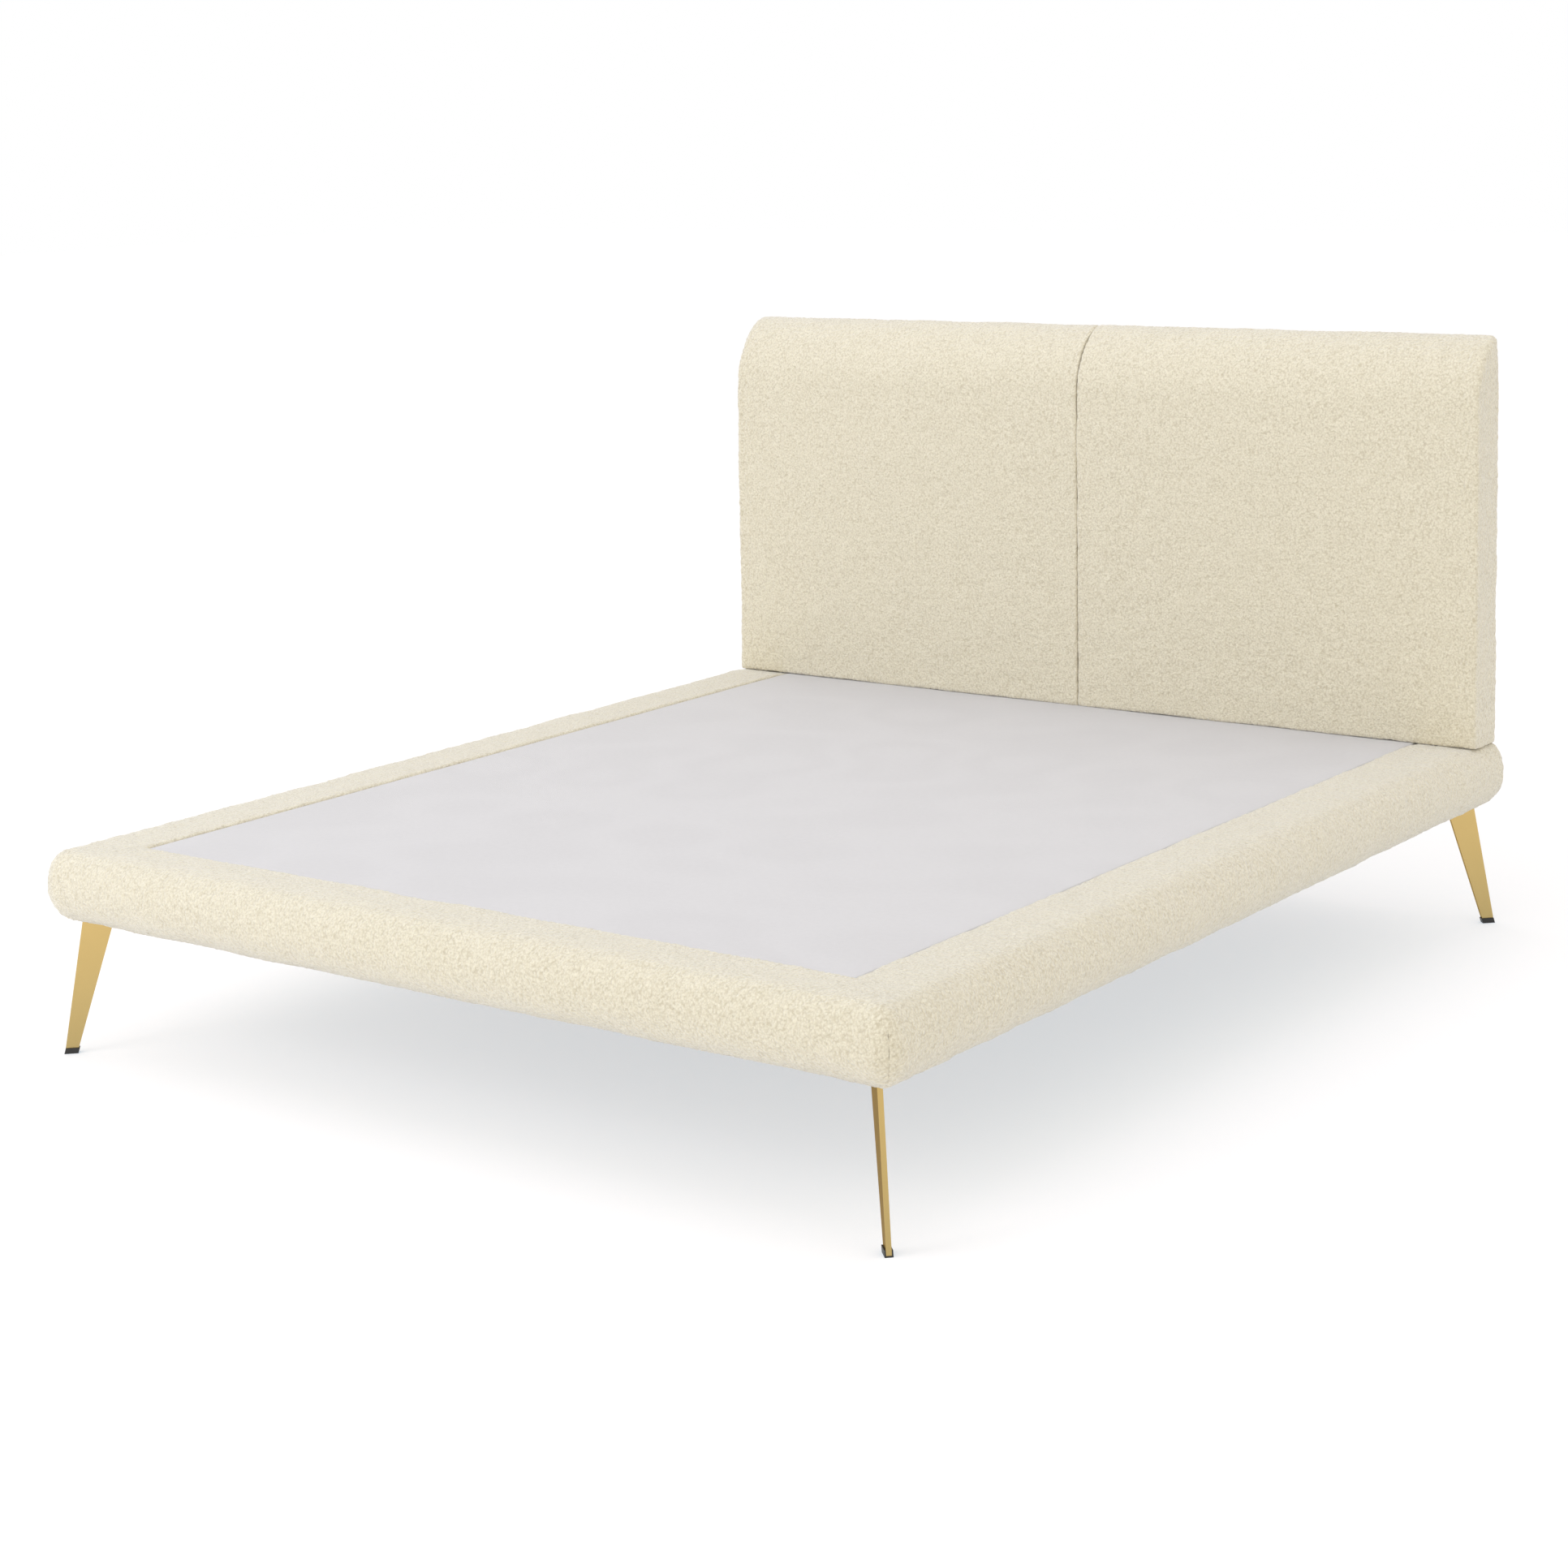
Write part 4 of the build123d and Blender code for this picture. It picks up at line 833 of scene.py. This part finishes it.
# ---------------------------------------------------------------- sheets
def make_deck_cover(materials):
    """Cloth drawn over the deck boards and down their edges."""
    top, fine = DECK_HIGH.z, 2 * DECK_EDGE
    axes = [
        graded(DECK_LOW.x, DECK_HIGH.x, DECK_STEP, fine, fine),
        graded(DECK_LOW.y, DECK_HIGH.y, DECK_STEP, fine, fine),
        graded(DECK_LOW.z, top, DECK_EDGE),
    ]
    points, faces = lattice_shell(axes, open_sides=[(2, 0)])
    x, y, z = points.T
    for low_or_high, out in ((DECK_LOW, -DECK_EDGE), (DECK_HIGH, DECK_EDGE)):
        x, z = round_edge(x, z, low_or_high.x, top, out, DECK_EDGE)
    for low_or_high, out in ((DECK_LOW, -DECK_EDGE), (DECK_HIGH, DECK_EDGE)):
        y, z = round_edge(y, z, low_or_high.y, top, out, DECK_EDGE)
    points = np.stack([x, y, z], axis=1)
    waves = DECK_WAVE * ripples(points, DECK_WAVELENGTH, DECK_SEED)
    points[:, 2] += waves * ramp(z, top - DECK_EDGE, top)
    piece = new_piece("deck_cloth", points, faces)
    thicken(piece, DECK_THICKNESS)
    piece.data.materials.append(materials["deck_cloth"])
    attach(piece, "root")
    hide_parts("deck_cover")


def tongued_sheet(columns, rows):
    """Points and faces of the flat lining, which narrows to its tongue below the shoulder."""
    index, points, faces = {}, [], []
    for i, j in np.ndindex(len(columns) - 1, len(rows) - 1):
        middle_x, middle_z = columns[i:i + 2].mean(), rows[j:j + 2].mean()
        if abs(middle_x) > TONGUE_X and middle_z < LINING_SHOULDER:
            continue
        quad = []
        for key in ((i, j), (i, j + 1), (i + 1, j + 1), (i + 1, j)):
            if key not in index:
                index[key] = len(points)
                points.append((columns[key[0]], 0, rows[key[1]]))
            quad.append(index[key])
        faces.append(quad)
    return np.array(points), faces


def make_back_lining(materials):
    """Lining stapled over the back of the headboard, with a tongue down between the side rails."""
    columns = graded(0, LINING_HIGH.x, LINING_STEP)
    columns[np.abs(columns - TONGUE_X).argmin()] = TONGUE_X
    columns = np.concatenate([-columns[:0:-1], columns])
    rows = graded(LINING_LOW.z, LINING_HIGH.z, LINING_STEP)
    rows[np.abs(rows - LINING_SHOULDER).argmin()] = LINING_SHOULDER
    points, faces = tongued_sheet(columns, rows)
    x, _, z = points.T
    to_side = np.where(z < LINING_SHOULDER, TONGUE_X, LINING_HIGH.x) - np.abs(x)
    to_bottom = z - np.where(np.abs(x) > TONGUE_X, LINING_SHOULDER, LINING_LOW.z)
    to_edge = np.minimum(np.minimum(to_side, LINING_HIGH.z - z), to_bottom)
    pulled = np.cos((x + z) * 2 * pi / STAPLE_PITCH) * ramp(to_edge, STAPLE_REACH, STAPLE_LINE)
    loose = ripples(points, SLACK_LENGTH, SLACK_SEED) * ramp(to_edge, SLACK_START, SLACK_FULL)
    points[:, 1] = LINING_LOW.y + LINING_FACE + STAPLE_PULL * pulled + SLACK * loose
    points[:, 1] += HEM_LIFT * ramp(to_edge, HEM + 1 * MM, HEM - 2 * MM)
    piece = new_piece("back_lining", points, faces)
    thicken(piece, LINING_THICKNESS)
    piece.data.materials.append(materials["lining_cloth"])
    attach(piece, "root")
    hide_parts("headboard_back_cloth")


# ---------------------------------------------------------------- legs
def soften_edges(node, width):
    """Break a CAD node's sharp edges with a narrow bevel."""
    piece = frame["nodes"][node]
    modifier = piece.modifiers.new("broken_edges", "BEVEL")
    modifier.width = width
    modifier.segments = 2
    modifier.limit_method = "ANGLE"
    modifier.angle_limit = radians(35)


# ---------------------------------------------------------------- stage, light and camera
def make_floor():
    """Plain white floor, lit by the lamps and glowing a little."""
    half = 30.0
    corners = [(-half, -half, 0), (half, -half, 0), (half, half, 0), (-half, half, 0)]
    floor = new_piece("floor", corners, [[0, 1, 2, 3]], smooth=False)
    material, tree, shader = new_material("floor_white", Roughness=1.0, Specular_IOR_Level=0.0)
    # the two colours add up to white, and the cool glow cancels the warm light that the cloth throws down
    shader.inputs["Base Color"].default_value = (0.64, 0.545, 0.47, 1)
    shader.inputs["Emission Color"].default_value = (0.375, 0.47, 0.555, 1)
    shader.inputs["Emission Strength"].default_value = 1.0
    floor.data.materials.append(material)


def make_world():
    """Soft studio light from all round, warmer near the horizon; the camera sees plain white."""
    world = bpy.data.worlds.new("studio")
    world.use_nodes = True
    tree = world.node_tree
    seen = tree.nodes.new("ShaderNodeLightPath").outputs["Is Camera Ray"]
    direction = tree.nodes.new("ShaderNodeTexCoord").outputs["Generated"]
    height = add_node(tree, "ShaderNodeSeparateXYZ", Vector=direction).outputs[2]
    horizon, zenith, white = (0.965, 0.93, 0.86, 1), (1.045, 1.025, 1.0, 1), (1, 1, 1, 1)
    sky = mix_colour(tree, height, horizon, zenith)
    background = tree.nodes["Background"]
    tree.links.new(mix_colour(tree, seen, sky, white), background.inputs[0])
    background.inputs[1].default_value = 1.0
    bpy.context.scene.world = world


def area_light(name, location, target, size, power, colour):
    """Rectangular lamp that points at its target."""
    data = bpy.data.lights.new(name, "AREA")
    data.shape = "RECTANGLE"
    data.size, data.size_y = size
    data.energy = power
    data.color = colour
    lamp = bpy.data.objects.new(name, data)
    lamp.location = location
    lamp.rotation_euler = (Vector(target) - Vector(location)).to_track_quat("-Z", "Y").to_euler()
    bpy.context.scene.collection.objects.link(lamp)


def make_camera():
    """Seen from front-right of the foot, from a little above the headboard, with a slight tilt."""
    azimuth, elevation, tilt = radians(36.9236), radians(12.7614), radians(-1.5157)
    target, distance = Vector((0.0003, -0.0887, 0.4277)), 5.8
    level = np.cos(elevation)
    back = Vector((np.sin(azimuth) * level, -np.cos(azimuth) * level, np.sin(elevation)))
    right = Vector((0, 0, 1)).cross(back).normalized()
    up = back.cross(right)
    right, up = right * np.cos(tilt) + up * np.sin(tilt), up * np.cos(tilt) - right * np.sin(tilt)
    data = bpy.data.cameras.new("camera")
    data.sensor_width = 36.0
    data.lens = 68.652
    camera = bpy.data.objects.new("camera", data)
    rotation = Matrix((right, up, back)).transposed()
    camera.matrix_world = Matrix.Translation(target + distance * back) @ rotation.to_4x4()
    bpy.context.scene.collection.objects.link(camera)
    bpy.context.scene.camera = camera


# ---------------------------------------------------------------- build
bpy.context.scene.view_settings.view_transform = "Standard"
make_camera()
make_floor()
make_world()
area_light("key", location=(-2.6, -4.4, 2.6), target=(0, -0.6, 0.3), size=(2.4, 2.4), power=62,
           colour=(0.88, 0.96, 1.12))
area_light("overhead", location=(0, -0.4, 4.2), target=(0, -0.4, 0.4), size=(4.0, 4.0), power=26,
           colour=(0.92, 0.98, 1.3))

slots = slot_materials()
dress_nodes(slots)
make_pads(slots)
make_deck_cover(slots)
make_back_lining(slots)
for end in ("foot", "head"):
    for side in ("left", "right"):
        soften_edges(f"{end}_leg_{side}", LEG_BEVEL)
        soften_edges(f"{end}_glide_{side}", GLIDE_BEVEL)
